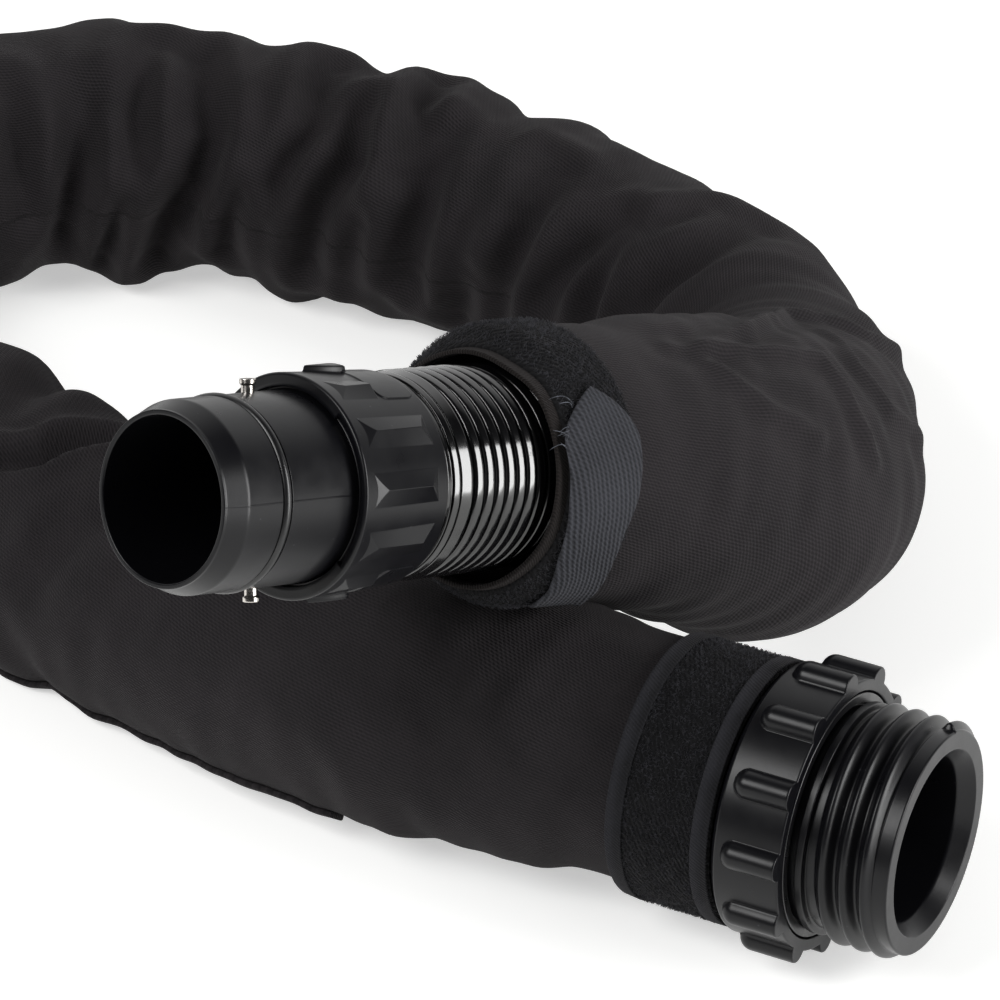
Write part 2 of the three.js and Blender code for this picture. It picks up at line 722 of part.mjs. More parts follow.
// ---------------------------------------------------------------- ribbed hose
function ribbedHose() {
  const corner = (k) => (2 * Math.PI * (k + 0.5)) / hoseSides;
  const ringAt = (distance, radius) => {
    const frame = frameAt(distance);
    return Array.from({ length: hoseSides }, (_, k) => pointOnRing(frame, radius, corner(k)));
  };
  const pitch = (routeLength - 2 * hoseNeckLength) / ribCount;
  const rootRadius = ribCrestRadius - ribDepth;
  const neckRadius = cuffNeckRadius;
  const rings = [ringAt(0, neckRadius)];
  for (let k = 0; k < ribCount; k += 1) {
    const start = hoseNeckLength + pitch * k;
    rings.push(ringAt(start, k === 0 ? neckRadius : rootRadius));
    rings.push(ringAt(start + pitch / 2, ribCrestRadius));
  }
  rings.push(ringAt(routeLength - hoseNeckLength, neckRadius));
  rings.push(ringAt(routeLength, neckRadius));
  const boreRings = ribCount / ribsPerBoreRing;
  for (let k = boreRings; k >= 0; k -= 1) {
    rings.push(ringAt((routeLength * k) / boreRings, hoseBoreRadius));
  }
  return skinOf(rings);
}

addPiece(object, 'corrugated_hose', ribbedHose(), glossRubber);

// ---------------------------------------------------------------- cloth sleeve
// Distances along the route, from the threaded end
const sleeveStart = bindingWidth + 3 * seatGap - wheelRear;
const sleeveEnd = routeLength - exposedHose;
const endRun = bandWidth + sleeveBandOverrun;
const floorHeight = Math.min(...routePoints.map((p) => p.z))
  - sleeveRadius * Math.cos(Math.PI / sleeveSides) + floorCut;

function smoothStep(from, to, at) {
  const u = Math.min(Math.max((at - from) / (to - from), 0), 1);
  return u * u * (3 - 2 * u);
}

// A rise and fall between two distances, with soft shoulders.
function stretchOf(from, to, shoulder, at) {
  return smoothStep(from - shoulder, from, at) * (1 - smoothStep(to, to + shoulder, at));
}

// The sleeve's outer radius: drawn in under the bands, gathered into folds on the back run,
// and slack round the outside of the right-hand bend.
function sleeveRadiusAt(distance, angle) {
  const fromEnds = Math.min(distance - sleeveStart, sleeveEnd - distance);
  const open = smoothStep(endRun, endRun + sleeveEase, fromEnds);
  const base = THREE.MathUtils.lerp(sleeveEndRadius, sleeveRadius, open);
  const gathered = stretchOf(foldsFrom, foldsTo, foldsEase, distance);
  const wave = Math.cos((2 * Math.PI * distance) / foldLength + 1.1 * Math.cos(angle + 0.6));
  const fold = foldDepth * gathered * (0.5 + 0.5 * wave);
  const slack = stretchOf(bagFrom, bagTo, bagEase, distance);
  const outside = Math.max(0, Math.cos(angle - degrees(bagTurnAngle)));
  return base + open * (fold + bagDepth * slack * outside);
}

function clothSleeve() {
  const corner = (k) => (2 * Math.PI * (k + 0.5)) / sleeveSides;
  const ringAt = (distance, radiusAt) => {
    const frame = frameAt(distance);
    return Array.from({ length: sleeveSides }, (_, k) => {
      const point = pointOnRing(frame, radiusAt(distance, corner(k)), corner(k));
      point.z = Math.max(point.z, floorHeight);
      return point;
    });
  };
  const between = (k, count) => THREE.MathUtils.lerp(sleeveStart, sleeveEnd, k / (count - 1));
  const rings = [];
  for (let k = 0; k < sleeveRings; k += 1) {
    rings.push(ringAt(between(k, sleeveRings), sleeveRadiusAt));
  }
  for (let k = sleeveBoreRings - 1; k >= 0; k -= 1) {
    rings.push(ringAt(between(k, sleeveBoreRings), () => sleeveBoreRadius));
  }
  return skinOf(rings);
}

addPiece(object, 'fabric_sleeve', clothSleeve(), knitCloth);

// The sleeve's lengthwise seam: a doubled edge low on the side that faces the front.
function sleeveSeam() {
  const [from, to] = [degrees(seamFromAngle), degrees(seamToAngle)];
  const inner = sleeveRadius + seamStand;
  const sections = [];
  for (let k = 0; k <= seamSteps; k += 1) {
    const frame = frameAt(seamStart + (seamLength * k) / seamSteps);
    sections.push([
      pointOnRing(frame, inner, from), pointOnRing(frame, inner + seamThickness, from),
      pointOnRing(frame, inner + seamThickness, (from + to) / 2),
      pointOnRing(frame, inner + seamThickness, to),
      pointOnRing(frame, inner, to), pointOnRing(frame, inner, (from + to) / 2),
    ]);
  }
  return cappedTube(sections);
}

addPiece(object, 'sleeve_seam', sleeveSeam(), knitCloth);

// ---------------------------------------------------------------- sleeve ends
const bandInner = sleeveEndRadius + seatGap;
const bandOuter = bandInner + bandThickness;
const tabInner = bandOuter + seatGap;
const tabOuter = tabInner + tabThickness;
const bindingOuter = sleeveEndRadius + bindingProud;
const bindingInner = bindingOuter - bindingThickness;

// Hem binding, loop band and hook tab of one sleeve end. The tab is sewn down as far as its
// fold, and its free end peels open about a line through the fold.
function sleeveEndPieces(group, side, mouth, bandFront, tab) {
  const bindingFront = mouth + bindingWidth;
  const binding = turned([
    [bindingInner, mouth], [bindingOuter, mouth], [bindingOuter, bindingFront - bindingEdge],
    [bindingOuter - bindingEdge, bindingFront], [bindingInner + bindingEdge / 2, bindingFront],
    [bindingInner, bindingFront - bindingEdge],
  ]);
  addPiece(group, `hem_binding_${side}`, binding, bindingTape);
  const band = ring(bandInner, bandOuter, bandFront - bandWidth, bandFront);
  addPiece(group, `loop_band_${side}`, band, loopPile);
  const tabFront = bandFront - tab.setback;
  const tabRear = tabFront - tabWidth;
  const sewn = bentStrip(tabInner, tabOuter, tabRear, tabFront, tab.sewnAt, tab.fold);
  addPiece(group, `hook_tab_${side}`, sewn, hookTape);
  const towards = Math.sign(tab.free - tab.fold);
  const flapFrom = tab.fold + towards * tab.foldGap;
  const flap = bentStrip(tabInner, tabOuter, tabRear, tabFront, flapFrom, tab.free);
  addPiece(group, `hook_flap_${side}`, flap, hookTape);
}

// Angles are in degrees round the end's axis, from its level side.
const rightMouth = -sleeveStart + seatGap;
const leftMouth = -exposedHose + seatGap;
// A tab's setback is from the band's outer edge; the left one stands a little past it.
const rightTab = { sewnAt: -84, fold: -30, free: 30, foldGap: 2, setback: 1.5 };
const leftTab = { sewnAt: -64, fold: -6, free: 52, foldGap: 2, setback: -1.1 };
sleeveEndPieces(threadedEnd, 'right', rightMouth, rightMouth + bindingWidth, rightTab);
sleeveEndPieces(bayonetEnd, 'left', leftMouth, leftMouth - seatGap, leftTab);

// ---------------------------------------------------------------- placing on the floor
object.updateMatrixWorld(true);
const extent = new THREE.Box3().setFromObject(object, true);
const middle = extent.getCenter(new THREE.Vector3());
object.position.set(-middle.x, -middle.y, -extent.min.z);
object.updateMatrixWorld(true);

export default object;
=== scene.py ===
# %% [markdown]
# # A breathing-air hose in a cloth sleeve
#
# The object is the air hose of a breathing set. A ribbed rubber hose runs inside a black
# cloth sleeve that keeps it clean. One end is a bayonet spigot with two steel pins and a
# grip collar, the other a connector with a 40 mm round thread and a lobed hand wheel.
#
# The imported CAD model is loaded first, as a frame that never moves. Everything visible is
# then built around it in metres, in the same axes, so nothing has to be fitted afterwards.

# %% Load the frame
import json
import math

import bpy
import numpy as np
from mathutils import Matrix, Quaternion, Vector


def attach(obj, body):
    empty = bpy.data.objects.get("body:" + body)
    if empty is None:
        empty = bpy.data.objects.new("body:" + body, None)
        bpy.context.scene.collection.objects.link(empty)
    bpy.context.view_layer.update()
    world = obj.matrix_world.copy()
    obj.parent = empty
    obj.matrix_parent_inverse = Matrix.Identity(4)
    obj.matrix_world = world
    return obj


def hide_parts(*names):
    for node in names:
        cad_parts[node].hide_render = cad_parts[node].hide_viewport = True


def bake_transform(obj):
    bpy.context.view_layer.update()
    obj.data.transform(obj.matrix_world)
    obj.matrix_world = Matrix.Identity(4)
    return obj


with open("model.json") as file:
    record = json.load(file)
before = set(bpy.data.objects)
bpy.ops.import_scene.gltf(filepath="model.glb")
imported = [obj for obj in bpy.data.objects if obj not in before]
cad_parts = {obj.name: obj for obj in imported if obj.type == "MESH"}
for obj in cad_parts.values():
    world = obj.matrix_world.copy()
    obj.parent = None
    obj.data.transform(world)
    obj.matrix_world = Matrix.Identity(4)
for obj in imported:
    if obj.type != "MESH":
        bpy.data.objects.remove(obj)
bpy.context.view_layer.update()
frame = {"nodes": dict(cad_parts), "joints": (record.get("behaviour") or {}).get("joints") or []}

MM = 0.001
rng = np.random.default_rng(7)

# %% [markdown]
# ## The route of the hose
#
# A hose is easiest to model along its middle line. It could be a Bezier curve drawn by
# hand, but a uniform cubic B-spline through a short list of points is smooth in slope and
# in curvature, and gives the same line as the CAD. The points are the CAD's, in metres,
# from the threaded end to the bayonet end. The frame's own joint says where the line
# starts, so the list doesn't depend on where the model was set down.

# %% The route's points and the line through them
route_points = np.array([
    (0.04035, -0.0817, 0.0251), (0.02272, -0.07229, 0.0251), (0.00509, -0.06288, 0.0251),
    (-0.01254, -0.05347, 0.0251), (-0.03, -0.0425, 0.0232), (-0.047, -0.0275, 0.0218),
    (-0.063, -0.0115, 0.0213), (-0.079, 0.0035, 0.0213), (-0.0955, 0.018, 0.0213),
    (-0.1095, 0.0285, 0.0213), (-0.1225, 0.0405, 0.0213), (-0.1335, 0.0555, 0.0215),
    (-0.1396, 0.0745, 0.0218), (-0.1383, 0.0955, 0.0222), (-0.1299, 0.1146, 0.0223),
    (-0.1154, 0.1292, 0.0223), (-0.0968, 0.1385, 0.0223), (-0.0775, 0.142, 0.0223),
    (-0.0575, 0.1405, 0.0223), (-0.0385, 0.1345, 0.0223), (-0.022, 0.126, 0.0223),
    (-0.007, 0.1168, 0.0223), (0.0086, 0.106, 0.0223), (0.0236, 0.0944, 0.022),
    (0.0366, 0.0804, 0.0216), (0.0454, 0.0632, 0.0213), (0.05, 0.0445, 0.022),
    (0.05, 0.0252, 0.0272), (0.0458, 0.0048, 0.0375), (0.0372, -0.0152, 0.0496),
    (0.02482, -0.0319, 0.0596), (0.01118, -0.0451, 0.06592), (-0.00246, -0.0583, 0.07224),
    (-0.0176, -0.07295, 0.079255),
])


def spline_line(points, samples=6000):
    """Points of the uniform cubic B-spline, close together."""
    first, last = 2 * points[0] - points[1], 2 * points[-1] - points[-2]
    corners = np.vstack([first, points, last])
    spans = len(corners) - 3
    at = np.linspace(0, spans, samples + 1)
    span = np.minimum(at.astype(int), spans - 1)
    u = (at - span)[:, None]
    weights = ((1 - u) ** 3, 3 * u ** 3 - 6 * u ** 2 + 4,
               -3 * u ** 3 + 3 * u ** 2 + 3 * u + 1, u ** 3)
    return sum(weight / 6 * corners[span + k] for k, weight in enumerate(weights))


joint_place = {joint["name"]: np.array(joint["pos_m"]) for joint in frame["joints"]}
route_line = spline_line(route_points)
route_shift = joint_place["thread_swivel"] - route_line[0]
route_line = route_line + route_shift
route_distance = np.concatenate(
    [[0], np.cumsum(np.linalg.norm(np.diff(route_line, axis=0), axis=1))])
hose_length = route_distance[-1]
print(f"hose length {hose_length:.4f} m, shift {route_shift.round(5)}")

# %% [markdown]
# Each piece that follows the hose needs a place and three axes at a distance along it: the
# tangent, a level axis to the side and an axis above. Both ends of the hose run straight,
# and their fittings are drawn in millimetres along an axis that points out of the hose.

# %% Axes along the hose and at its two ends
def unit(vectors):
    return vectors / np.linalg.norm(vectors, axis=-1, keepdims=True)


def frames_at(distance):
    """Centre, tangent, side and above at distances in metres, straight past the route's ends."""
    distance = np.atleast_1d(np.asarray(distance, float))
    inside = np.clip(distance, 0, hose_length)
    centre = np.stack([np.interp(inside, route_distance, route_line[:, k]) for k in range(3)], 1)
    slope = np.gradient(route_line, route_distance, axis=0)
    tangent = unit(np.stack([np.interp(inside, route_distance, slope[:, k]) for k in range(3)], 1))
    centre = centre + tangent * (distance - inside)[:, None]
    side = unit(np.cross(tangent, [0, 0, 1]))
    return centre, tangent, side, np.cross(side, tangent)


class HoseEnd:
    """One end of the hose: origin where the ribbed hose ends, z out of the hose, y above."""

    def __init__(self, distance, outward):
        centre, tangent, _, above = frames_at(distance)
        self.origin = centre[0]
        self.z = tangent[0] * outward
        self.y = above[0]
        self.x = np.cross(self.y, self.z)

    def place(self, radius, turn, height):
        """World points from radius and height in mm and turn in degrees round the axis."""
        radius, turn, height = np.broadcast_arrays(radius, np.radians(turn), height)
        across = (radius * np.cos(turn))[..., None] * self.x
        across = across + (radius * np.sin(turn))[..., None] * self.y
        return self.origin + (across + height[..., None] * self.z) * MM


threaded_end = HoseEnd(0, -1)
bayonet_end = HoseEnd(hose_length, 1)
print("threaded axis", threaded_end.z.round(4), "bayonet axis", bayonet_end.z.round(4))

# %% [markdown]
# ## Camera
#
# The camera looks along +Y and down at 31.5 degrees, from 1.1 m, with a long lens, which is
# how the photograph was taken: the ellipses of the connectors' rims give that angle.

# %% Camera
camera_height_angle = math.radians(31.5)
camera_distance = 1.1
camera_target = route_shift + np.array([0, 0, 0.030])
towards_camera = np.array([0, -math.cos(camera_height_angle), math.sin(camera_height_angle)])

camera = bpy.data.objects.new("camera", bpy.data.cameras.new("camera"))
bpy.context.scene.collection.objects.link(camera)
camera.location = Vector(camera_target + camera_distance * towards_camera)
camera.rotation_euler = (math.pi / 2 - camera_height_angle, 0, 0)
camera.data.sensor_width = 36
camera.data.lens = 228.9
camera.data.clip_end = 20
bpy.context.scene.camera = camera
print("camera at", [round(x, 4) for x in camera.location])

# %% [markdown]
# ## Small tools
#
# Every surface here is a grid of points: rows along the piece and columns round it. One
# function turns such a grid into a mesh, and one rounds the corners of an outline before it
# is turned. A rounded edge as small as 0.2 mm is what catches the light on moulded parts.
# The last one says which body a piece moves with and which nodes of the CAD model it stands for.

# %% Meshes from grids of points
def mesh_object(name, vertices, faces, material):
    mesh = bpy.data.meshes.new(name)
    faces = faces.tolist() if isinstance(faces, np.ndarray) else faces
    mesh.from_pydata(np.asarray(vertices).tolist(), [], faces)
    mesh.polygons.foreach_set("use_smooth", np.full(len(mesh.polygons), True))
    mesh.update()
    piece = bpy.data.objects.new(name, mesh)
    bpy.context.scene.collection.objects.link(piece)
    mesh.materials.append(material)
    return piece


def grid_faces(rows, columns, round_rows):
    """Quads of a grid whose last column joins its first, and its last row too if asked."""
    row, column = np.arange(rows if round_rows else rows - 1), np.arange(columns)
    row, column = (a.ravel() for a in np.meshgrid(row, column, indexing="ij"))
    next_row, next_column = (row + 1) % rows, (column + 1) % columns
    return np.stack([row * columns + column, row * columns + next_column,
                     next_row * columns + next_column, next_row * columns + column], 1)


def outward(points, faces):
    """The faces, turned so that a closed mesh has a positive volume."""
    a, b, c = (points[faces[:, k]] - points.mean(0) for k in range(3))
    d = points[faces[:, 3]] - points.mean(0)
    volume = (a * np.cross(b, c)).sum() + (a * np.cross(c, d)).sum()
    return faces if volume > 0 else faces[:, ::-1]


def grid_skin(name, grid, material, round_rows=False):
    rows, columns = grid.shape[:2]
    points = grid.reshape(-1, 3)
    faces = grid_faces(rows, columns, round_rows)
    if round_rows:
        faces = outward(points, faces)
    return mesh_object(name, points, faces, material)


def rounded(outline, edge=0.25, steps=4):
    """A closed outline of (radius, height) corners in mm, with each corner rounded.

    A corner may carry its own edge as a third number. A point just outside each rounding
    keeps the shading of the flats beside it flat."""
    corners = np.array([corner[:2] for corner in outline], float)
    points = []
    for k, corner in enumerate(corners):
        reach = outline[k][2] if len(outline[k]) > 2 else edge
        to_last, to_next = corners[k - 1] - corner, corners[(k + 1) % len(corners)] - corner
        spans = np.linalg.norm(to_last), np.linalg.norm(to_next)
        reach = min(reach, 0.42 * spans[0], 0.42 * spans[1])
        back, on = to_last / spans[0], to_next / spans[1]
        if reach * 1.15 < 0.45 * spans[0]:
            points.append(corner + back * min(reach * 1.6, 0.45 * spans[0]))
        for t in np.linspace(0, 1, steps + 1):
            points.append(corner + back * reach * (1 - t) ** 2 + on * reach * t ** 2)
        if reach * 1.15 < 0.45 * spans[1]:
            points.append(corner + on * min(reach * 1.6, 0.45 * spans[1]))
    return np.array(points)


def turned(name, end, outline, material, columns=192):
    """A piece turned about one end's axis from a closed outline in mm."""
    profile = rounded(outline)
    turns = np.linspace(0, 360, columns, endpoint=False)
    grid = end.place(profile[:, :1], turns[None, :], profile[:, 1:])
    return grid_skin(name, grid, material, round_rows=True)


def dress(piece, body, slot, *nodes):
    """The piece moves with a body and stands for the nodes named, which are hidden; the slot argument
    is not used.
    """
    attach(piece, body)
    if nodes:
        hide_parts(*nodes)


def smooth_step(low, high, at):
    u = np.clip((at - low) / (high - low), 0, 1)
    return u * u * (3 - 2 * u)


def soft_max(a, b, blend):
    """The larger of two heights, with a fillet of about that size where they meet."""
    near = np.maximum(blend - np.abs(a - b), 0) / blend
    return np.maximum(a, b) + near * near * blend / 4


# %% [markdown]
# ## Materials
#
# Colours are written as sRGB hex values, as they are read off a screen, and one function
# turns them to the linear values that the shader wants. One function adds a node with its
# settings and links. Every pattern takes the object's own coordinates, in metres, or a
# coordinate stored on the mesh, so that it stays on the piece when a joint moves.

# %% Colour and node helpers
def linear(hex_colour):
    """sRGB hex to the linear colour that a shader takes."""
    channels = [int(hex_colour[k:k + 2], 16) / 255 for k in (1, 3, 5)]
    return tuple(c / 12.92 if c <= 0.04045 else ((c + 0.055) / 1.055) ** 2.4
                 for c in channels) + (1.0,)


def add(tree, kind, inputs=None, **settings):
    """Adds a node with its settings; inputs are numbers, colours or other nodes' outputs."""
    node = tree.nodes.new(kind)
    for name, value in settings.items():
        setattr(node, name, value)
    for name, value in (inputs or {}).items():
        if isinstance(value, bpy.types.NodeSocket):
            tree.links.new(value, node.inputs[name])
        else:
            node.inputs[name].default_value = value
    return node


def new_finish(name):
    """An empty material, with its tree and its shader."""
    material = bpy.data.materials.new(name)
    material.use_nodes = True
    tree = material.node_tree
    tree.nodes.clear()
    shader = add(tree, "ShaderNodeBsdfPrincipled")
    add(tree, "ShaderNodeOutputMaterial", {"Surface": shader.outputs[0]})
    return material, tree, shader


def set_inputs(shader, **values):
    for name, value in values.items():
        shader.inputs[name.replace("_", " ")].default_value = value


def noise_between(tree, where, size_mm, low, high):
    """A value between low and high that varies over about size_mm."""
    noise = add(tree, "ShaderNodeTexNoise", {
        "Vector": where, "Scale": 1 / (size_mm * MM), "Detail": 3.0, "Roughness": 0.6})
    spread = add(tree, "ShaderNodeMapRange", {
        "Value": noise.outputs["Fac"], "From Min": 0.3, "From Max": 0.7,
        "To Min": low, "To Max": high})
    return spread.outputs["Result"]


# %% [markdown]
# **Moulded nylon, spark-eroded finish.** The spigot, collar, connector and hand wheel are
# injection-moulded glass-filled nylon. Its mould was spark-eroded, which leaves a fine
# grain that spreads highlights into a satin. The grain is about 0.1 mm on the real part;
# here it is 0.25 mm, the finest that shows. Handling polishes it unevenly, so the
# roughness varies, and a little dust stays on it.

# %% Moulded nylon
def moulded_nylon():
    material, tree, shader = new_finish("moulded_nylon_satin")
    where = add(tree, "ShaderNodeTexCoord").outputs["Object"]
    patches = noise_between(tree, where, 7, 0.27, 0.36)
    dust = add(tree, "ShaderNodeTexVoronoi", {"Vector": where, "Scale": 1 / (3.2 * MM)})
    speck = add(tree, "ShaderNodeMapRange", {
        "Value": dust.outputs["Distance"], "From Min": 0.03, "From Max": 0.06,
        "To Min": 0.4, "To Max": 0.0})
    tint = add(tree, "ShaderNodeMix", {
        "Factor": speck.outputs["Result"], 6: linear("#0b0b0e"), 7: linear("#4a4a4e")},
        data_type="RGBA")
    grain = add(tree, "ShaderNodeTexNoise", {
        "Vector": where, "Scale": 1 / (0.25 * MM), "Detail": 2.0, "Roughness": 0.5})
    bump = add(tree, "ShaderNodeBump", {
        "Height": grain.outputs["Fac"], "Strength": 0.25, "Distance": 0.02 * MM})
    tree.links.new(tint.outputs[2], shader.inputs["Base Color"])
    tree.links.new(patches, shader.inputs["Roughness"])
    tree.links.new(bump.outputs["Normal"], shader.inputs["Normal"])
    set_inputs(shader, IOR=1.53, Specular_IOR_Level=0.24)
    return material


satin_nylon = moulded_nylon()
print("made", satin_nylon.name)

# %% [markdown]
# **Extruded rubber.** The ribbed hose and its cuffs are a glossy black elastomer, blown or
# moulded against a polished mould. It shows sharp narrow highlights on each rib, with faint
# ripples. The O-rings are the same stuff with a softer, greasy shine.

# %% Rubbers
def black_rubber(name, colour, rough, ripple_mm, ripple, coat):
    material, tree, shader = new_finish(name)
    where = add(tree, "ShaderNodeTexCoord").outputs["Object"]
    film = noise_between(tree, where, 5, rough * 0.8, rough * 1.3)
    waves = add(tree, "ShaderNodeTexNoise", {
        "Vector": where, "Scale": 1 / (ripple_mm * MM), "Detail": 2.0})
    bump = add(tree, "ShaderNodeBump", {
        "Height": waves.outputs["Fac"], "Strength": 0.3, "Distance": ripple * MM})
    tree.links.new(film, shader.inputs["Roughness"])
    tree.links.new(bump.outputs["Normal"], shader.inputs["Normal"])
    set_inputs(shader, IOR=1.52, Base_Color=linear(colour), Coat_Weight=coat, Coat_Roughness=0.09,
               Coat_IOR=1.5)
    return material


gloss_rubber = black_rubber("extruded_rubber_gloss", "#060607", 0.15, 2.5, 0.03, 0.5)
seal_rubber = black_rubber("o_ring_rubber", "#0c0c0e", 0.3, 1.2, 0.02, 0.0)

# %% [markdown]
# **Turned stainless steel.** The two bayonet pins are turned from bright bar. Turning
# and handling leave fine marks all over them, which break up the shine a little.

# %% Stainless steel
def turned_steel():
    material, tree, shader = new_finish("turned_stainless_steel")
    where = add(tree, "ShaderNodeTexCoord").outputs["Object"]
    wear = noise_between(tree, where, 0.8, 0.14, 0.3)
    marks = add(tree, "ShaderNodeTexNoise", {
        "Vector": where, "Scale": 1 / (0.3 * MM), "Detail": 2.0})
    bump = add(tree, "ShaderNodeBump", {
        "Height": marks.outputs["Fac"], "Strength": 0.2, "Distance": 0.02 * MM})
    tree.links.new(wear, shader.inputs["Roughness"])
    tree.links.new(bump.outputs["Normal"], shader.inputs["Normal"])
    set_inputs(shader, Metallic=1.0, Base_Color=linear("#cbc6c0"))
    return material


bright_steel = turned_steel()

# %% [markdown]
# ** Twill cloth.** The sleeve is a close cotton and polyester twill, piece-dyed black. Twill
# shows as fine slanted ribs of short floats of yarn. Real ones are about 0.4 mm apart; here
# they are 0.55 mm, the finest that shows. The ribs come from a sine across a stored
# coordinate in metres, and the floats from a second one along the ribs. Their height, with
# the fuzz, also sets the colour: raised yarn gets a lighter colour as painted highlight and
# the hollows stay dark as painted shade, with random paler patches on top. Cloth scatters
# light from its fuzz, so it has sheen and no gloss.

# %% Twill cloth
def ribs_across(tree, across, along, pitch_mm, slant):
    """The phase, in radians, of ribs pitch_mm apart that lean by slant as they run."""
    lean = add(tree, "ShaderNodeMath", {0: along, 1: slant}, operation="MULTIPLY")
    total = add(tree, "ShaderNodeMath", {0: across, 1: lean.outputs[0]}, operation="ADD")
    return add(tree, "ShaderNodeMath", {
        0: total.outputs[0], 1: 2 * math.pi / (pitch_mm * MM)}, operation="MULTIPLY").outputs[0]


def sine(tree, phase):
    return add(tree, "ShaderNodeMath", {0: phase}, operation="SINE").outputs[0]


# The second colour is a painted highlight for the raised yarn; the first is the cloth's own colour,
# which the hollows keep as painted shade.
def woven_cloth(name, colour, raised_yarn_highlight, rib_mm, float_mm, slant, depth, sheen):
    material, tree, shader = new_finish(name)
    woven = add(tree, "ShaderNodeAttribute", attribute_name="cloth")
    split = add(tree, "ShaderNodeSeparateXYZ", {"Vector": woven.outputs["Vector"]})
    across, along = split.outputs["X"], split.outputs["Y"]
    waver = noise_between(tree, woven.outputs["Vector"], 9, -0.12 * MM, 0.12 * MM)
    across = add(tree, "ShaderNodeMath", {0: across, 1: waver}, operation="ADD").outputs[0]
    rib = sine(tree, ribs_across(tree, across, along, rib_mm, slant))
    yarn = sine(tree, ribs_across(tree, along, across, float_mm, 0.6))
    weave = add(tree, "ShaderNodeMath", {0: yarn, 1: 0.45, 2: rib}, operation="MULTIPLY_ADD")
    fuzz = add(tree, "ShaderNodeTexNoise", {
        "Vector": woven.outputs["Vector"], "Scale": 1 / (0.35 * MM), "Detail": 3.0})
    height = add(tree, "ShaderNodeMath", {
        0: fuzz.outputs["Fac"], 1: 1.6, 2: weave.outputs[0]}, operation="MULTIPLY_ADD")
    bump = add(tree, "ShaderNodeBump", {
        "Height": height.outputs[0], "Strength": 0.8, "Distance": depth * MM})
    # Painted highlight and shade: the weave's height sets the colour, lighter on raised yarn and darker
    # in the hollows; random paler patches are added.
    shade = add(tree, "ShaderNodeMapRange", {
        "Value": height.outputs[0], "From Min": -1.0, "From Max": 2.6, "To Min": 0.0, "To Max": 1.0})
    wear = noise_between(tree, woven.outputs["Vector"], 14, 0.0, 0.35)
    weave_shade_and_wear = add(tree, "ShaderNodeMath", {
        0: shade.outputs["Result"], 1: wear}, operation="ADD", use_clamp=True)
    tint = add(tree, "ShaderNodeMix", {
        "Factor": weave_shade_and_wear.outputs[0], 6: linear(colour), 7: linear(raised_yarn_highlight)}, data_type="RGBA")
    tree.links.new(tint.outputs[2], shader.inputs["Base Color"])
    tree.links.new(bump.outputs["Normal"], shader.inputs["Normal"])
    set_inputs(shader, Roughness=0.95, Sheen_Weight=sheen, Sheen_Roughness=0.45,
               Sheen_Tint=linear("#b9b4b6"), Specular_IOR_Level=0.2)
    return material


# The second colour is the painted highlight on the raised yarn.
black_twill = woven_cloth("black_cotton_twill", "#0f0e10", "#282527", 0.55, 0.8, 0.23, 0.07, 0.06)

# %% [markdown]
# ## The ribbed hose
#
# The hose's wall is a row of rings. It could be an array of one rib on a curve modifier, but
# a grid whose radius depends on the distance along the route gives every rib its shape and
# keeps the count exact. Ribs sit 2.4 mm apart: about 274 of them on this length. Only the
# few at the bayonet end show, so those are drawn finely and the hidden ones coarsely. Each
# rib falls gently towards the bayonet end, which is the face that catches a white strip.

# %% Ribbed hose
rib_crest = 16.9
rib_root = 15.5
rib_doming = 0.45
rib_summit = 0.3  # share of the pitch at which a rib is highest
rear_fall = 1.4  # how much sooner the short side behind the summit falls
hose_bore = 13.9
hose_neck_radius = 14.9
hose_neck_length = 2.25
rib_total = 274
rib_pitch = (hose_length / MM - 2 * hose_neck_length) / rib_total
shown_ribs = 12


def rib_radius(phase):
    """Radius over one rib: a crest that falls gently towards the bayonet end, and a groove."""
    groove = np.cos(np.pi * phase) ** 12
    past = np.where(phase > rib_summit, (phase - rib_summit) / (1 - rib_summit),
                    rear_fall * (rib_summit - phase) / rib_summit)
    dome = rib_doming * np.minimum(past, 1) ** 1.3
    return rib_crest - dome - (rib_crest - rib_doming - rib_root) * groove


def ribbed_hose(columns=64):
    stations, radii = [0.0], [hose_neck_radius]
    for rib in range(rib_total):
        fine = rib >= rib_total - shown_ribs
        phases = np.linspace(0, 1, 20 if fine else 4, endpoint=False)
        stations.extend(hose_neck_length + rib_pitch * (rib + phases))
        radii.extend(rib_radius(phases))
    end_mm = hose_length / MM
    stations.extend([end_mm - hose_neck_length, end_mm - hose_neck_length + 0.05, end_mm])
    radii.extend([rib_root, hose_neck_radius, hose_neck_radius])
    bore = np.linspace(end_mm, 0, 120)
    stations = np.concatenate([stations, bore])
    radii = np.concatenate([radii, np.full(len(bore), hose_bore)])
    centre, _, side, above = frames_at(stations * MM)
    turn = np.linspace(0, 2 * np.pi, columns, endpoint=False)
    ring = np.cos(turn)[None, :, None] * side[:, None, :]
    ring = ring + np.sin(turn)[None, :, None] * above[:, None, :]
    grid = centre[:, None, :] + ring * (radii * MM)[:, None, None]
    return grid_skin("air_hose", grid, gloss_rubber, round_rows=True)


air_hose = ribbed_hose()
dress(air_hose, "hose", "hose_rubber", "corrugated_hose")
print("ribs", rib_total, "pitch", round(rib_pitch, 3), "mm")

# %% [markdown]
# ## Cuffs and rings
#
# A moulded cuff grips each end of the hose, and a ring is crimped round it. They are turned
# shapes, so an outline is rounded and turned about the end's axis. Ring and bead are a
# little conical, as moulded ones are, so that they leave the mould.

# %% Cuffs and clamp rings
cuff_front, cuff_floor, cuff_rear = 3.7, 0.3, -1.5
cuff_outer, cuff_socket, cuff_bore = 16.1, 15.2, 13.9
cuff_bead = 16.8
bead_front, bead_rear = 2.4, 1.1
clamp_outer = 17.0
clamp_taper, bead_taper = 0.5, 0.3  # both fall towards the collar
clamp_front, clamp_rear = 0.65, -1.5


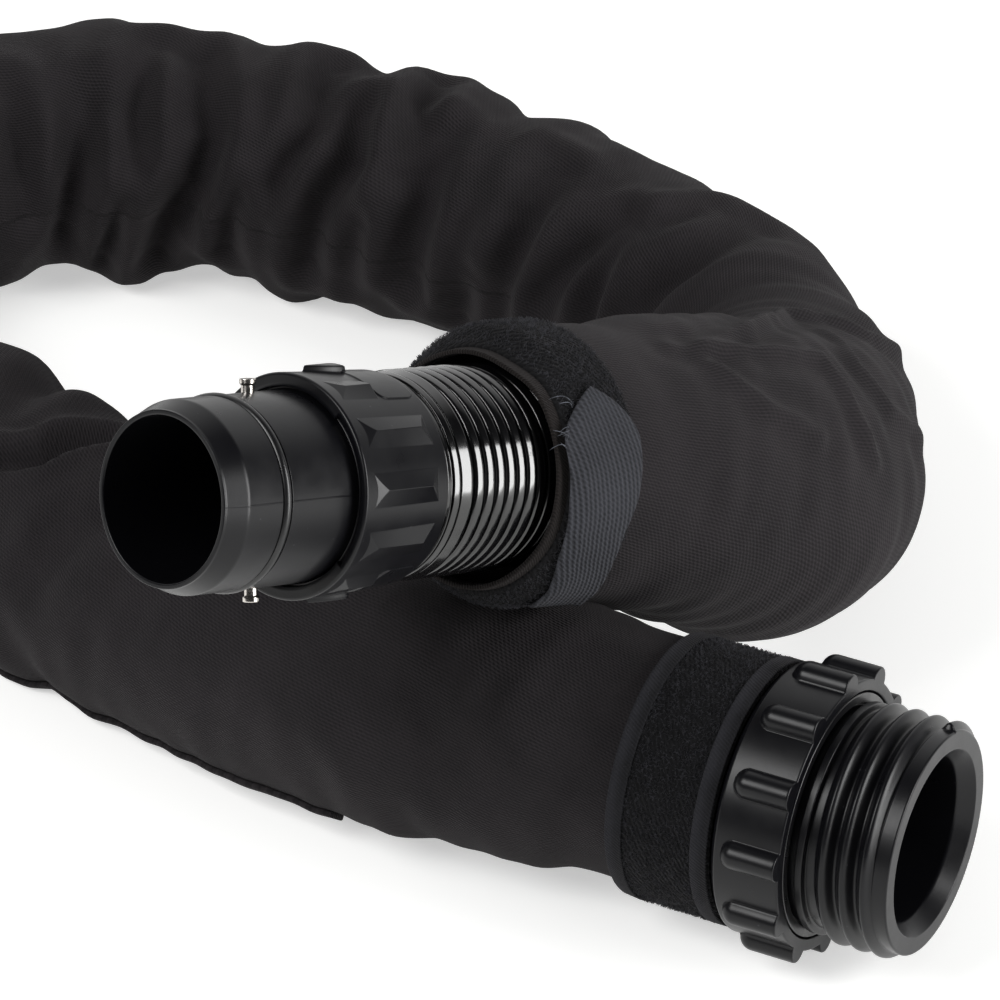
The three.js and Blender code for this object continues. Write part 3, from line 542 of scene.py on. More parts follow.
def cuff_and_ring(end, side):
    cuff = turned(f"cuff_{side}", end, [
        (cuff_bore, cuff_floor), (cuff_bore, cuff_front), (cuff_outer, cuff_front, 0.5),
        (cuff_outer, bead_front), (cuff_bead - bead_taper, bead_front - 0.05, 0.3),
        (cuff_bead, bead_rear + 0.05, 0.4), (cuff_outer, bead_rear), (cuff_outer, cuff_rear, 0.3),
        (cuff_socket, cuff_rear), (cuff_socket, cuff_floor),
    ], gloss_rubber)
    ring = turned(f"clamp_{side}", end, [
        (cuff_outer + 0.05, clamp_rear), (clamp_outer, clamp_rear, 0.45),
        (clamp_outer - clamp_taper, clamp_front, 0.3), (cuff_outer + 0.05, clamp_front),
    ], gloss_rubber)
    for piece, node in ((cuff, f"hose_cuff_{side}"), (ring, f"clamp_ring_{side}")):
        dress(piece, "hose", "hose_rubber", node)


cuff_and_ring(bayonet_end, "left")
cuff_and_ring(threaded_end, "right")

# %% [markdown]
# ## Bayonet spigot
#
# The spigot is one turned form: a thin lip round the bore, a satin chamfer that leads it
# into its socket, an O-ring groove, and a skirt that hides under the collar. A mould
# parting line runs down the side, a ridge 0.15 mm wide, so the outline is turned in fine
# columns and the columns on the line stand proud by a few hundredths of a millimetre.

# %% Spigot
spigot_tip = 50.4
spigot_radius = 15.25
spigot_bore = 13.0
lip_radius = 13.85
chamfer_height = 4.0
seal_height = 38.1
seal_groove_half = 1.0
seal_groove_radius = 14.0
collar_rear, collar_front = 4.1, 23.7
skirt_radius = 15.9
skirt_front = 22.5
parting_turn = 17.0


def spigot():
    tail_flange = skirt_front - 3.2
    outline = [
        (14.8, collar_rear + 0.6), (14.8, tail_flange + 0.3), (spigot_bore, tail_flange + 0.3),
        (spigot_bore, spigot_tip, 0.3), (lip_radius, spigot_tip, 0.15),
        (lip_radius + 0.05, spigot_tip - 0.45, 0.12),
        (spigot_radius, spigot_tip - chamfer_height, 0.3),
        (spigot_radius, seal_height + seal_groove_half, 0.12),
        (seal_groove_radius, seal_height + seal_groove_half, 0.2),
        (seal_groove_radius, seal_height - seal_groove_half, 0.2),
        (spigot_radius, seal_height - seal_groove_half, 0.12),
        (spigot_radius, skirt_front), (skirt_radius, skirt_front), (skirt_radius, collar_rear + 0.6),
    ]
    profile = rounded(outline, 0.2)
    turns = np.linspace(0, 360, 240, endpoint=False)
    lines = [parting_turn + k + d for k in (0, 180) for d in (-0.6, -0.25, 0, 0.25, 0.6)]
    turns = np.sort(np.concatenate([turns, lines]) % 360)
    from_line = np.abs((turns - parting_turn + 90) % 180 - 90)
    flash = 0.05 * np.exp(-(from_line / 0.3) ** 2)
    outside = (profile[:, 0] > spigot_bore + 0.3) & (profile[:, 1] > skirt_front + 0.2)
    radius = profile[:, :1] + np.where(outside, 1.0, 0.0)[:, None] * flash[None, :]
    grid = bayonet_end.place(radius, turns[None, :], profile[:, 1:])
    return grid_skin("spigot", grid, satin_nylon, round_rows=True)


spigot_piece = spigot()
dress(spigot_piece, "bayonet", "satin_plastic", "bayonet_spigot")


# %% [markdown]
# **O-ring and pins.** The O-ring sits in the spigot's groove. Blender's own torus would do,
# but the same kind of grid puts it in place without a turn. The pins are two pieces of
# steel bar that stand out square to the spigot, each turned about an axis of its own.

# %% O-ring and pins
def ring_of_round_section(name, end, radius, section, height, material, columns=160, steps=16):
    angle = np.linspace(0, 2 * np.pi, steps, endpoint=False)[:, None]
    turns = np.linspace(0, 360, columns, endpoint=False)[None, :]
    grid = end.place(radius + section * np.cos(angle), turns, height + section * np.sin(angle))
    return grid_skin(name, grid, material, round_rows=True)


o_ring = ring_of_round_section(
    "spigot_o_ring", bayonet_end, seal_groove_radius + 0.85, 0.82, seal_height, seal_rubber)
dress(o_ring, "bayonet", "seal_rubber", "nose_seal")

pin_turn = 109.0
pin_height = 31.4
pin_radius = 1.05
pin_head_radius = 1.32
pin_tip = 17.45


def bayonet_pin(name, turn, node):
    """A pin stands out square to the spigot's wall, with a head that flares a little."""
    outline = [
        (0.02, spigot_radius - 0.8), (pin_radius, spigot_radius - 0.8),
        (pin_radius, pin_tip - 1.0, 0.1), (pin_head_radius, pin_tip - 0.75, 0.12),
        (pin_head_radius, pin_tip, 0.15), (0.02, pin_tip),
    ]
    profile = rounded(outline, 0.12)
    out = math.cos(math.radians(turn)) * bayonet_end.x + math.sin(math.radians(turn)) * bayonet_end.y
    across = np.cross(bayonet_end.z, out)
    angle = np.linspace(0, 2 * np.pi, 48, endpoint=False)
    ring = np.cos(angle)[:, None] * bayonet_end.z + np.sin(angle)[:, None] * across
    base = bayonet_end.origin + bayonet_end.z * pin_height * MM
    grid = base + (profile[:, 0, None, None] * ring[None] + profile[:, 1, None, None] * out) * MM
    pin = grid_skin(name, grid, bright_steel, round_rows=True)
    dress(pin, "bayonet", "steel", node)


bayonet_pin("steel_pin_upper", pin_turn, "bayonet_pin_upper")
bayonet_pin("steel_pin_lower", pin_turn + 180, "bayonet_pin_lower")

# %% [markdown]
# ## Grip collar
#
# The collar turns the bayonet. Its outside is a slight cone with ten raised grip ridges, each
# like a long hipped roof, two leaf-shaped lugs that point at the pins, and a smooth pad
# behind each lug. Joining these with booleans leaves messy shading, so the collar is a turned
# grid whose radius is a function of turn and height: a ridge is the lowest of the four
# planes of its roof, wherever that lies above the cone.

# %% Collar outline as a radius at each turn and height
collar_front_radius, collar_rear_radius = 18.0, 17.0
ridge_crest, ridge_half_turn = 18.4, 8.8
ridge_front, ridge_rear = collar_front - 2.7, collar_front - 16.9
ridge_front_slope, ridge_rear_slope = 2.0, 2.3
short_ridge_rear = ridge_front - 7.6
lug_tip, lug_rear = collar_front - 4.4, collar_front - 11.6
lug_half_width, lug_crest = 2.6, 18.72
pad_height, pad_half_turn, pad_corner = 0.2, 40.0, 2.0
pad_front, pad_rear = short_ridge_rear - 0.1, collar_rear + 0.9
rear_step = 0.16


def cone_radius(height):
    share = (height - collar_rear) / (collar_front - collar_rear)
    return collar_rear_radius + (collar_front_radius - collar_rear_radius) * share


def ridge_radius(away, height, rear, rear_slope):
    """Radius of a ridge's roof: two sides that meet in its crest, and its two ends."""
    cone = cone_radius(height)
    half = math.radians(ridge_half_turn)
    foot_x, foot_y = cone * math.cos(half), cone * math.sin(half)
    side = ridge_crest * foot_y / (np.cos(away) * foot_y + np.sin(away) * (ridge_crest - foot_x))
    lift = ridge_crest - cone_radius(ridge_front)
    front = cone_radius(ridge_front) + lift * (ridge_front - height) / ridge_front_slope
    end = cone_radius(rear) + (ridge_crest - cone_radius(rear)) * (height - rear) / rear_slope
    return np.minimum(side, np.minimum(front, end) / np.cos(away))


def lug_radius(away, height, cone):
    """A lug: a level, slightly domed top with steep walls, pointed in front, square behind."""
    beside = np.abs(cone * np.sin(away))
    share = np.clip((height - lug_rear) / (lug_tip - lug_rear), 0, 1)
    wide = lug_half_width * (1 - share ** 1.9)
    wall = smooth_step(-0.05, 0.3, wide - beside) * smooth_step(0, 0.22, height - lug_rear)
    bevel = 0.25 * (1 - smooth_step(0, 0.6, height - lug_rear)) + 0.02 * beside ** 2
    rise = (lug_crest - bevel - cone) * smooth_step(0, 0.06, lug_tip - height)
    return cone + np.where(np.cos(away) > 0, rise * wall, 0)


def pad_shape(away_degrees, height):
    """1 on the pad behind a lug, 0 off it, with rounded corners."""
    side = (pad_half_turn - away_degrees) * math.radians(collar_rear_radius)
    end = np.minimum(pad_front - height, height - pad_rear)
    inside = np.where((side < pad_corner) & (end < pad_corner),
                      pad_corner - np.hypot(pad_corner - side, pad_corner - end),
                      np.minimum(side, end))
    return smooth_step(0, 0.3, inside)


def collar_radius_at(turn, height):
    cone = cone_radius(height)
    radius = np.broadcast_to(cone, np.broadcast_shapes(turn.shape, height.shape)).copy()
    radius -= rear_step * (1 - smooth_step(-0.1, 0.1, height - pad_rear + 0.1))
    for side in (0, 180):
        away = np.abs((turn - pin_turn - side + 180) % 360 - 180)
        radius = radius + pad_height * pad_shape(away, height)
        away = np.radians((turn - pin_turn - side + 180) % 360 - 180)
        radius = np.maximum(radius, lug_radius(away, height, cone))
    for k in range(12):
        from_lug = min(k % 6, 6 - k % 6)
        if from_lug == 0:
            continue
        away = np.radians(np.abs((turn - pin_turn - 30 * k + 180) % 360 - 180))
        near = away < math.radians(ridge_half_turn + 4)
        if from_lug == 1:
            ridge = ridge_radius(away, height, short_ridge_rear - ridge_rear_slope, 0.1)
            ridge = cone + (ridge - cone) * smooth_step(0, 0.2, height - short_ridge_rear)
        else:
            ridge = ridge_radius(away, height, ridge_rear, ridge_rear_slope)
        radius = np.where(near, np.maximum(radius, ridge), radius)
    return radius


# %% Collar
collar_inner, collar_lip_inner = 16.2, 15.7
notch_half_turn, notch_depth, notch_inner = 45.0, 0.8, 16.6


def moulding(name, end, turn, rings):
    """A closed nylon piece from rings of (radius, height) in mm, in order round its section.

    A radius or a height is a number, or has a value for each turn; the first ring is a whole
    grid of them, with its rows along the piece."""
    rings = [np.broadcast_arrays(radius, height, turn)[:2] for radius, height in rings]
    radii, heights = (np.vstack(part) for part in zip(*rings))
    return grid_skin(name, end.place(radii, turn, heights), satin_nylon, round_rows=True)


def grip_collar(columns=1080, rows=190):
    turn = np.linspace(0, 360, columns, endpoint=False)[None, :]
    height = np.linspace(collar_rear + 0.35, collar_front - 0.4, rows)[:, None]
    body = collar_radius_at(turn, height)
    front_rim, rear_rim = body[-1:], body[:1]
    from_notch = np.abs((turn - pin_turn) % 180 - 90)
    face = collar_front - notch_depth * smooth_step(0, 1.0, notch_half_turn - from_notch)
    rings = [(body, height)]
    rings += [(front_rim - inset, collar_front - drop)
              for inset, drop in ((0.06, 0.22), (0.16, 0.09), (0.32, 0.0), (0.5, 0.0))]
    rings += [
        (notch_inner + 0.15, collar_front), (notch_inner - 0.02, face), (notch_inner - 0.15, face),
        (collar_lip_inner + 0.2, face), (collar_lip_inner + 0.05, face - 0.1),
        (collar_lip_inner, face - 0.35), (collar_lip_inner, collar_front - 1.0),
        (collar_inner, collar_front - 1.05), (collar_inner, collar_rear + 0.2),
        (collar_inner + 0.2, collar_rear)]
    rings += [(rear_rim - inset, collar_rear + lift)
              for inset, lift in ((0.45, 0.0), (0.3, 0.0), (0.12, 0.08), (0.03, 0.2))]
    return moulding("grip_collar_moulding", bayonet_end, turn, rings)


collar = grip_collar()
dress(collar, "bayonet", "satin_plastic", "grip_collar")
print("collar faces", len(collar.data.polygons))

# %% [markdown]
# ## Threaded connector
#
# The thread is the standard 40 mm round thread of breathing sets, right-handed, seven turns
# to the inch. A ridge swept along a helix would need to be joined to the core; instead the
# turned grid's radius rises wherever a point lies near the helix, which also gives the cut
# start and the gentle run-out that the mould has.

# %% Thread as a radius at each turn and height
wheel_rear, wheel_front, rim_face = 4.1, 16.3, 33.4
thread_crest, thread_root = 20.0, 18.15
thread_pitch = 25.4 / 7
thread_turns = 3.3
thread_start_turn = 72.0
thread_start = 1.3
rim_radius, rim_length = 18.75, 3.0
shoulder_radius, shoulder_front, shoulder_rear = 19.4, 14.3, 16.2


def thread_radius_at(turn, height):
    """Radius of the outside between the wheel's face and the rim, in mm."""
    below = rim_face - height
    radius = np.full(np.broadcast_shapes(turn.shape, height.shape), thread_root)
    first = ((thread_start_turn - turn) / 360) % 1
    for extra in range(4):
        wound = first + extra
        off = np.clip((below - thread_start - thread_pitch * wound) / (thread_pitch / 2), -1, 1)
        ridge = (0.5 + 0.5 * np.cos(np.pi * off)) ** 0.85
        size = smooth_step(0, 0.006, wound) * (1 - smooth_step(thread_turns - 0.2, thread_turns, wound))
        radius = np.maximum(radius, thread_root + (thread_crest - thread_root) * ridge * size)
    rim = thread_root + (rim_radius - thread_root) * smooth_step(0, 0.5, rim_length - below)
    radius = soft_max(radius, rim, 0.15)
    shoulder = smooth_step(0, 0.4, below - shoulder_front) * smooth_step(0, 0.4, shoulder_rear - below)
    return soft_max(radius, thread_root - 0.6 + (shoulder_radius - thread_root + 0.6) * shoulder, 0.15)


# %% Threaded connector
bore_radius = 13.8
bevel_outer, bevel_depth = 15.7, 2.6
skirt_outer = 18.6


def threaded_connector(columns=720, rows=190):
    turn = np.linspace(0, 360, columns, endpoint=False)[None, :]
    height = np.linspace(wheel_front - 1.0, rim_face - 0.3, rows)[:, None]
    outside = thread_radius_at(turn, height)
    rings = [(outside, height)]
    rings += [(outside[-1:] - inset, rim_face - drop)
              for inset, drop in ((0.02, 0.18), (0.1, 0.06), (0.25, 0.0), (0.45, 0.0))]
    flange = wheel_front - 1.8
    inner = rounded([
        (bevel_outer, rim_face, 0.12), (bore_radius, rim_face - bevel_depth, 0.3),
        (bore_radius, flange + 0.3), (14.8, flange + 0.3), (14.8, wheel_rear + 0.6),
        (skirt_outer, wheel_rear + 0.6), (skirt_outer, wheel_front - 1.1), (17.6, rim_face),
    ], 0.2)
    last_corner = 7  # its points, left out: it only closes the outline where the thread is
    rings += inner[:-last_corner].tolist()
    return moulding("thread_connector", threaded_end, turn, rings)


connector = threaded_connector()
dress(connector, "screw_end", "satin_plastic", "threaded_connector")
print("connector faces", len(connector.data.polygons))

# %% [markdown]
# ## Hand wheel
#
# Twelve half-round lobes stand on a base ring. Each lobe is a cylinder with a ball end that
# runs out towards the hose, and the front face is flat across lobes and ring. The same
# turned grid does it, with a soft maximum for the moulded fillet at each lobe's foot.

# %% Hand wheel
wheel_base = 22.8
lobe_middle, lobe_radius = 22.6, 2.4
lobe_length = 10.2
lobe_count, wheel_turn = 12, 21.6
wheel_inner = 18.9
gasket_outer = 20.8


def wheel_radius_at(turn, height):
    step = 360 / lobe_count
    away = np.radians((turn - wheel_turn + step / 2) % step - step / 2)
    ball = wheel_front - lobe_length + lobe_radius
    behind = np.clip(ball - height, 0, lobe_radius)
    section = np.sqrt(np.maximum(lobe_radius ** 2 - behind ** 2, 0))
    inside = section ** 2 - (lobe_middle * np.sin(away)) ** 2
    lobe = np.where(inside > 0, lobe_middle * np.cos(away) + np.sqrt(np.maximum(inside, 0)), 0)
    base = wheel_base - 0.9 * smooth_step(0, 1, (wheel_rear + 0.9 - height) / 0.9)
    return soft_max(base + 0 * turn, lobe, 0.5)


def hand_wheel(columns=840, rows=80):
    turn = np.linspace(0, 360, columns, endpoint=False)[None, :]
    height = np.linspace(wheel_rear, wheel_front - 0.3, rows)[:, None]
    outside = wheel_radius_at(turn, height)
    recess = wheel_front - 1.5
    rings = [(outside, height)]
    rings += [(outside[-1:] - inset, wheel_front - drop)
              for inset, drop in ((0.03, 0.16), (0.12, 0.04), (0.27, 0.0), (0.45, 0.0))]
    rings += [
        (gasket_outer + 0.3, wheel_front), (gasket_outer + 0.1, wheel_front - 0.05),
        (gasket_outer, wheel_front - 0.25), (gasket_outer, recess), (wheel_inner, recess),
        (wheel_inner, wheel_rear + 0.2), (wheel_inner + 0.2, wheel_rear)]
    return moulding("lobed_hand_wheel", threaded_end, turn, rings)


wheel = hand_wheel()
dress(wheel, "screw_end", "satin_plastic", "hand_wheel")

gasket = turned("face_gasket", threaded_end, [
    (18.8, 15.0), (20.5, 15.0), (20.5, 16.2), (18.8, 16.2)], seal_rubber)
dress(gasket, "screw_end", "seal_rubber", "wheel_gasket")

# %% [markdown]
# ## Hidden fittings
#
# The swivel tails, their seals and the snap rings sit inside the connectors. Their CAD
# solids have the right shape already, so they stay and only get their finishes.

# %% Finishes of the CAD nodes that stay
def refinish(node, material):
    piece = frame["nodes"][node]
    piece.data.materials.clear()
    piece.data.materials.append(material)


for side in ("left", "right"):
    refinish(f"hose_tail_{side}", satin_nylon)
    refinish(f"tail_seal_{side}", seal_rubber)
    refinish(f"snap_ring_{side}", bright_steel)

# %% [markdown]
# ## Cloth sleeve
#
# The sleeve is a tube of twill, wider than the hose and longer than the way it has to go,
# so it gathers. Its shape is a radius at each distance along the hose and each angle round
# it, built up in steps: the plain tube, drawn in under the bands at both ends; the outline
# that the photograph shows, above and below; the creases, each a line with a depth and a
# width; and small random ripples. A cloth simulation would gather it too, but at places of
# its own; here every fold can be put where the real one is.

# %% Sleeve: plain tube and outline
sleeve_start = -1.0
sleeve_end = hose_length / MM - 19.2
sleeve_radius, sleeve_end_radius = 22.6, 20.9
mouth_radius, mouth_flare = 20.2, 5.5
mouth_drop_above, mouth_drop_below = 1.9, 0.9
band_width = 18.5
drawn_in = band_width + 3.0

# (distance along the hose, radius) of the sleeve's outline as the camera sees it
upper_outline = [
    (142, 23.5), (150, 25.2), (163, 24.5), (167, 27.1), (172, 27.6), (177, 27.0),
    (322, 23.3), (330, 23.6), (339, 24.1), (344, 25.8), (350, 25.7), (356, 24.3),
    (363, 22.2), (366, 23.3), (374, 21.8), (382, 24.5), (389, 24.4), (392, 22.6),
    (398, 20.0), (404, 23.9), (412, 24.4), (421, 22.4), (428, 20.4), (433, 22.8),
    (439, 23.4), (444, 22.0), (459, 19.9), (467, 20.5), (475, 20.8), (485, 22.1),
    (497, 22.1), (507, 21.6), (519, 24.1),
]
lower_outline = [
    (21, 19.9), (40, 22.4), (61, 24.4), (70, 23.1), (79, 22.5), (98, 22.5), (122, 23.6),
    (142, 25.2), (321, 24.3), (335, 21.1), (353, 25.2), (360, 22.2), (367, 20.1),
    (377, 22.3), (389, 24.5), (404, 22.9), (413, 22.2), (422, 22.4), (430, 21.0),
    (534, 22.0), (539, 23.3), (545, 26.8), (550, 29.8), (556, 30.8), (561, 31.3), (566, 32.2),
    (571, 33.2), (576, 33.8), (583, 33.0), (591, 31.5), (599, 30.0), (606, 28.6), (612, 27.5),
    (618, 26.0), (623, 24.5), (627, 23.7),
]


def silhouette_angles(distance_mm):
    """Angles round the hose, in degrees, of its outline above and below for the camera."""
    _, _, side, above = frames_at(np.asarray(distance_mm) * MM)
    facing = np.degrees(np.arctan2(above @ towards_camera, side @ towards_camera))
    picture_up = np.array([0, math.sin(camera_height_angle), math.cos(camera_height_angle)])
    angle = np.radians(facing + 90)
    rises = (np.cos(angle)[:, None] * side + np.sin(angle)[:, None] * above) @ picture_up
    return facing + np.where(rises > 0, 90, -90), facing + np.where(rises > 0, -90, 90)


def outline_points():
    rows = []
    for outline, which in ((upper_outline, 0), (lower_outline, 1)):
        distance = np.array([row[0] for row in outline], float)
        angle = silhouette_angles(distance)[which]
        rows.append(np.stack([distance, angle, [row[1] for row in outline]], 1))
    return np.vstack(rows)


def angle_between(a, b):
    return (a - b + 180) % 360 - 180


def plain_radius(distance, angle):
    """Radius of the tube without folds: narrow at the mouth and wider behind the band."""
    from_ends = np.minimum(distance - sleeve_start, sleeve_end - distance)
    opened = smooth_step(drawn_in, drawn_in + 18, from_ends)
    radius = sleeve_end_radius + (sleeve_radius - sleeve_end_radius) * opened
    turn = angle_between(180, angle)
    mouth = mouth_radius - mouth_drop_above * smooth_step(55, 88, turn) * smooth_step(0, 60, 180 - turn)
    mouth = mouth - mouth_drop_below * smooth_step(0, 45, -turn)
    flare = smooth_step(-1.0, mouth_flare, sleeve_end - distance)
    drawn = mouth + (sleeve_radius - 0.6 - mouth) * flare
    near_mouth = 1 - smooth_step(drawn_in, drawn_in + 12, sleeve_end - distance)
    return radius + (drawn - radius) * near_mouth


plain_weight = 0.25  # against 1 for an outline point that is right here
pull_mm, pull_degrees = 4.5, 42  # how far an outline point pulls along the hose and round it


def outlined_radius(distance, angle):
    """The plain tube pulled to the outline's radii near each outline point."""
    total = np.full(distance.shape, plain_weight)
    pulled = plain_weight * plain_radius(distance, angle)
    for at, turn, radius in outline_points():
        along, around = (distance - at) / pull_mm, angle_between(angle, turn) / pull_degrees
        near = np.exp(-along ** 2 - around ** 2)
        total += near
        pulled += near * radius
    return pulled / total


# %% [markdown]
# A crease is a short line on the cloth: a valley with a soft ridge on each side, because the
# cloth that sinks in one place stands up beside it. A pinch, with a narrow ridge and no
# valley, is where the cloth is folded on itself.

# %% Sleeve: creases
# (depth mm, half width mm, points as (distance along the hose, angle round it))
valleys = [
    (2.2, 4.0, [(324, 62), (325, 35), (324.5, 4)]),
    (2.6, 5.0, [(343, 48), (339, 15), (335, -12)]),
    (2.2, 3.6, [(356, 84), (354, 49), (354.5, 24)]),
    (3.4, 4.2, [(365, 84), (372.5, 38), (371, 12), (361.5, -11), (358, -32)]),
    (2.0, 3.2, [(351.5, 2), (346, -32)]),
    (2.0, 3.0, [(381, 12), (377, -18)]),
    (2.4, 3.4, [(391, 96), (395, 52), (391.5, 24)]),
    (3.2, 3.8, [(403, 66), (406, 42), (402, 16), (398.5, -18)]),
    (2.4, 3.2, [(411, 112), (415, 70), (417, 44)]),
    (3.0, 3.8, [(421.5, 68), (424, 31), (423, -8)]),
    (1.8, 3.0, [(411, 14), (407, -20)]),
    (2.2, 3.6, [(439, 4), (434.5, -26)]),
    (1.8, 3.0, [(443, 76), (444, 46)]),
    (2.4, 3.4, [(449, 69), (449, 38), (446, 0), (444, -25)]),
    (2.4, 3.8, [(469.5, 60), (463, 37), (458, 13)]),
    (2.0, 3.4, [(473.5, 42), (474, 10), (470, -20)]),
    (2.4, 5.0, [(487, 110), (492, 63), (491, 34), (486, 5)]),
    (1.6, 4.0, [(479, 96), (477, 62)]),
    (3.2, 2.2, [(146, 118), (140, 109), (138.5, 98), (135, 78)]),
    (1.6, 7.0, [(76, 128), (57, 145), (44, 165)]),
    (1.4, 5.0, [(122, 122), (128, 156)]),
    (1.5, 3.5, [(160, 40), (156, 75), (150, 100)]),
]
ridges = [
    (1.3, 1.5, [(608, 107), (576, 92), (547, 88), (540, 106), (535, 127), (517, 157)]),
    (1.1, 1.4, [(615, 105), (599, 113), (579, 124), (579, 133), (578, 155), (574, 172)]),
    (1.1, 1.5, [(610, 115), (608, 128), (602, 143), (590, 158)]),
    (1.0, 1.6, [(556, 112), (567, 133), (562, 154), (548, 170)]),
    (0.7, 2.4, [(639, 108), (633, 120), (627, 132)]),
]
cloth_mm_per_degree = math.pi * sleeve_radius / 180
fold_gain = 1.45


def distance_to_line(distance, angle, points):
    """Distance in mm on the cloth to a line of points, and how far along the line, 0 to 1."""
    nearest = np.full(distance.shape, 1e9)
    along = np.zeros(distance.shape)
    spans = len(points) - 1
    for k in range(spans):
        (s0, a0), (s1, a1) = points[k], points[k + 1]
        ds, da = s1 - s0, angle_between(a1, a0) * cloth_mm_per_degree
        ps, pa = distance - s0, angle_between(angle, a0) * cloth_mm_per_degree
        share = np.clip((ps * ds + pa * da) / (ds * ds + da * da), 0, 1)
        away = np.hypot(ps - share * ds, pa - share * da)
        closer = away < nearest
        nearest = np.where(closer, away, nearest)
        along = np.where(closer, (k + share) / spans, along)
    return nearest, along


def crease_height(distance, angle):
    """How far all creases move the cloth, in mm."""
    height = np.zeros(distance.shape)
    for depth, width, points in valleys:
        away, along = distance_to_line(distance, angle, points)
        tail = 0.55 + 0.45 * np.sin(np.pi * np.clip(along, 0.05, 0.95))
        valley = np.exp(-(away / width) ** 2)
        shoulder = 0.5 * np.exp(-((away - 1.9 * width) / width) ** 2)
        height += fold_gain * depth * tail * (shoulder - valley)
    for rise, width, points in ridges:
        away, along = distance_to_line(distance, angle, points)
        tail = smooth_step(0, 0.15, along) * smooth_step(0, 0.15, 1 - along)
        height += rise * (0.35 + 0.65 * tail) * np.exp(-(away / width) ** 2)
        height -= 0.5 * rise * np.exp(-((away - 2.4 * width) / (1.6 * width)) ** 2)
    return height


# %% [markdown]
# The creases of the photograph cover the side that it shows. The far side of the gathered
# back run gets folds of the same size from slow waves, and all of the cloth gets small
# ripples, both from sums of sines with seeded phases, so that each run is the same.

# %% Sleeve: folds of the far side and ripples
least_radius = 18.6  # the cloth never sinks closer to the hose
far_fold_height, ripple_height, outer_slack = 2.6, 0.35, 2.2


def drawn_waves(sizes, turns):
    """Waves over the cloth: (wave length in mm, whole waves round, phase, lean)."""
    return [(size, turn, *rng.uniform(0, 2 * np.pi, 2)) for size, turn in zip(sizes, turns)]


far_folds = drawn_waves((23, 31, 19, 41), (1, -1, 2, 0))
small_ripples = drawn_waves((13, 9, 17, 11, 7), (3, -2, 1, 4, -5))


def waves(distance, angle, drawn):
    total = np.zeros(distance.shape)
    for size, turn, phase, lean in drawn:
        total += np.sin(2 * np.pi * distance / size + turn * np.radians(angle) + phase
                        + 0.8 * np.sin(np.radians(angle) + lean))
    return total / len(drawn)


facing_stations = np.linspace(-10, hose_length / MM + 10, 500)
facing_angles = np.unwrap(0.5 * sum(silhouette_angles(facing_stations)), period=360)


def sleeve_radius_at(distance, angle):
    facing = np.interp(distance, facing_stations, facing_angles)
    far = smooth_step(60, 120, np.abs(angle_between(angle, facing)))
    gathered = smooth_step(250, 300, distance) * (1 - smooth_step(470, 520, distance))
    gathered = gathered + 0.4 * smooth_step(120, 180, distance) * (1 - gathered)
    folds = far_fold_height * waves(distance, angle, far_folds)
    slack = outer_slack * smooth_step(505, 540, distance) * (1 - smooth_step(575, 605, distance))
    outside = np.maximum(0, np.cos(np.radians(angle - 195)))
    ripples = ripple_height * waves(distance, angle, small_ripples)
    from_ends = np.minimum(distance - sleeve_start, sleeve_end - distance)
    opened = smooth_step(drawn_in - 2, drawn_in + 14, from_ends)
    radius = outlined_radius(distance, angle)
    radius = radius + opened * (crease_height(distance, angle) + far * gathered * folds + ripples
                                + slack * outside)
    return soft_max(radius, np.full(radius.shape, least_radius), 1.2)


def on_sleeve(distance, angle, lift):
    """World points at distances in mm along the hose and angles round it, above the cloth."""
    radius = sleeve_radius_at(distance, angle) + lift
    centre, _, side, above = frames_at(np.ravel(distance) * MM)
    turn = np.radians(np.ravel(angle))[:, None]
    points = centre + (np.cos(turn) * side + np.sin(turn) * above) * np.ravel(radius)[:, None] * MM
    points = points.reshape(*distance.shape, 3)
    lying = 0.35 * MM
    below = np.minimum(points[..., 2] - lying, 0)
    points[..., 2] = np.where(below < 0, lying * np.exp(below / (4 * lying)), points[..., 2])
    return points


def add_cloth_coordinate(piece, values):
    store = piece.data.attributes.new("cloth", "FLOAT_VECTOR", "POINT")
    store.data.foreach_set("vector", np.asarray(values, np.float32).ravel())


# %% Sleeve
cloth_thickness = 0.7
sleeve_stations = np.arange(sleeve_start, sleeve_end, 1.05)
sleeve_columns = 232


def cloth_sleeve():
    angle = np.linspace(0, 360, sleeve_columns, endpoint=False)
    distance, angle = np.meshgrid(sleeve_stations[::-1], angle, indexing="ij")
    piece = grid_skin("twill_sleeve", on_sleeve(distance, angle, 0.0), black_twill)
    cloth = (angle * cloth_mm_per_degree * MM, distance * MM, np.zeros(distance.shape))
    add_cloth_coordinate(piece, np.stack(cloth, -1))
    thick = piece.modifiers.new("cloth thickness", "SOLIDIFY")
    thick.thickness = cloth_thickness * MM
    thick.offset = -1
    return piece


sleeve = cloth_sleeve()
dress(sleeve, "hose", "sleeve_cloth", "fabric_sleeve")
print("sleeve faces", len(sleeve.data.polygons))

# %% [markdown]
# ## Tapes on the sleeve
#
# The hems, the loop bands, the hook tabs and the seam are all strips sewn to the cloth. Each
# is one flat section with rounded edges, carried along a line on the sleeve, so it follows
# the cloth under it. Its own coordinate, in metres, runs across and along the tape.

# %% Tape woven materials
# In each tape the second colour is the painted highlight on the raised yarn.
tape_binding = woven_cloth("herringbone_binding_tape", "#080707", "#1f1b1a", 0.6, 0.8, 0.9, 0.1, 0.06)
band_ground = woven_cloth("loop_tape_ground", "#070708", "#131315", 0.9, 0.9, 0.5, 0.12, 0.05)
selvedge_ribs = woven_cloth("ribbed_selvedge", "#09090a", "#242428", 4.0, 0.62, 0.0, 0.12, 0.05)
hook_tape = woven_cloth("hook_tape_open_weave", "#101012", "#3b3c41", 0.95, 0.75, 0.25, 0.14, 0.04)


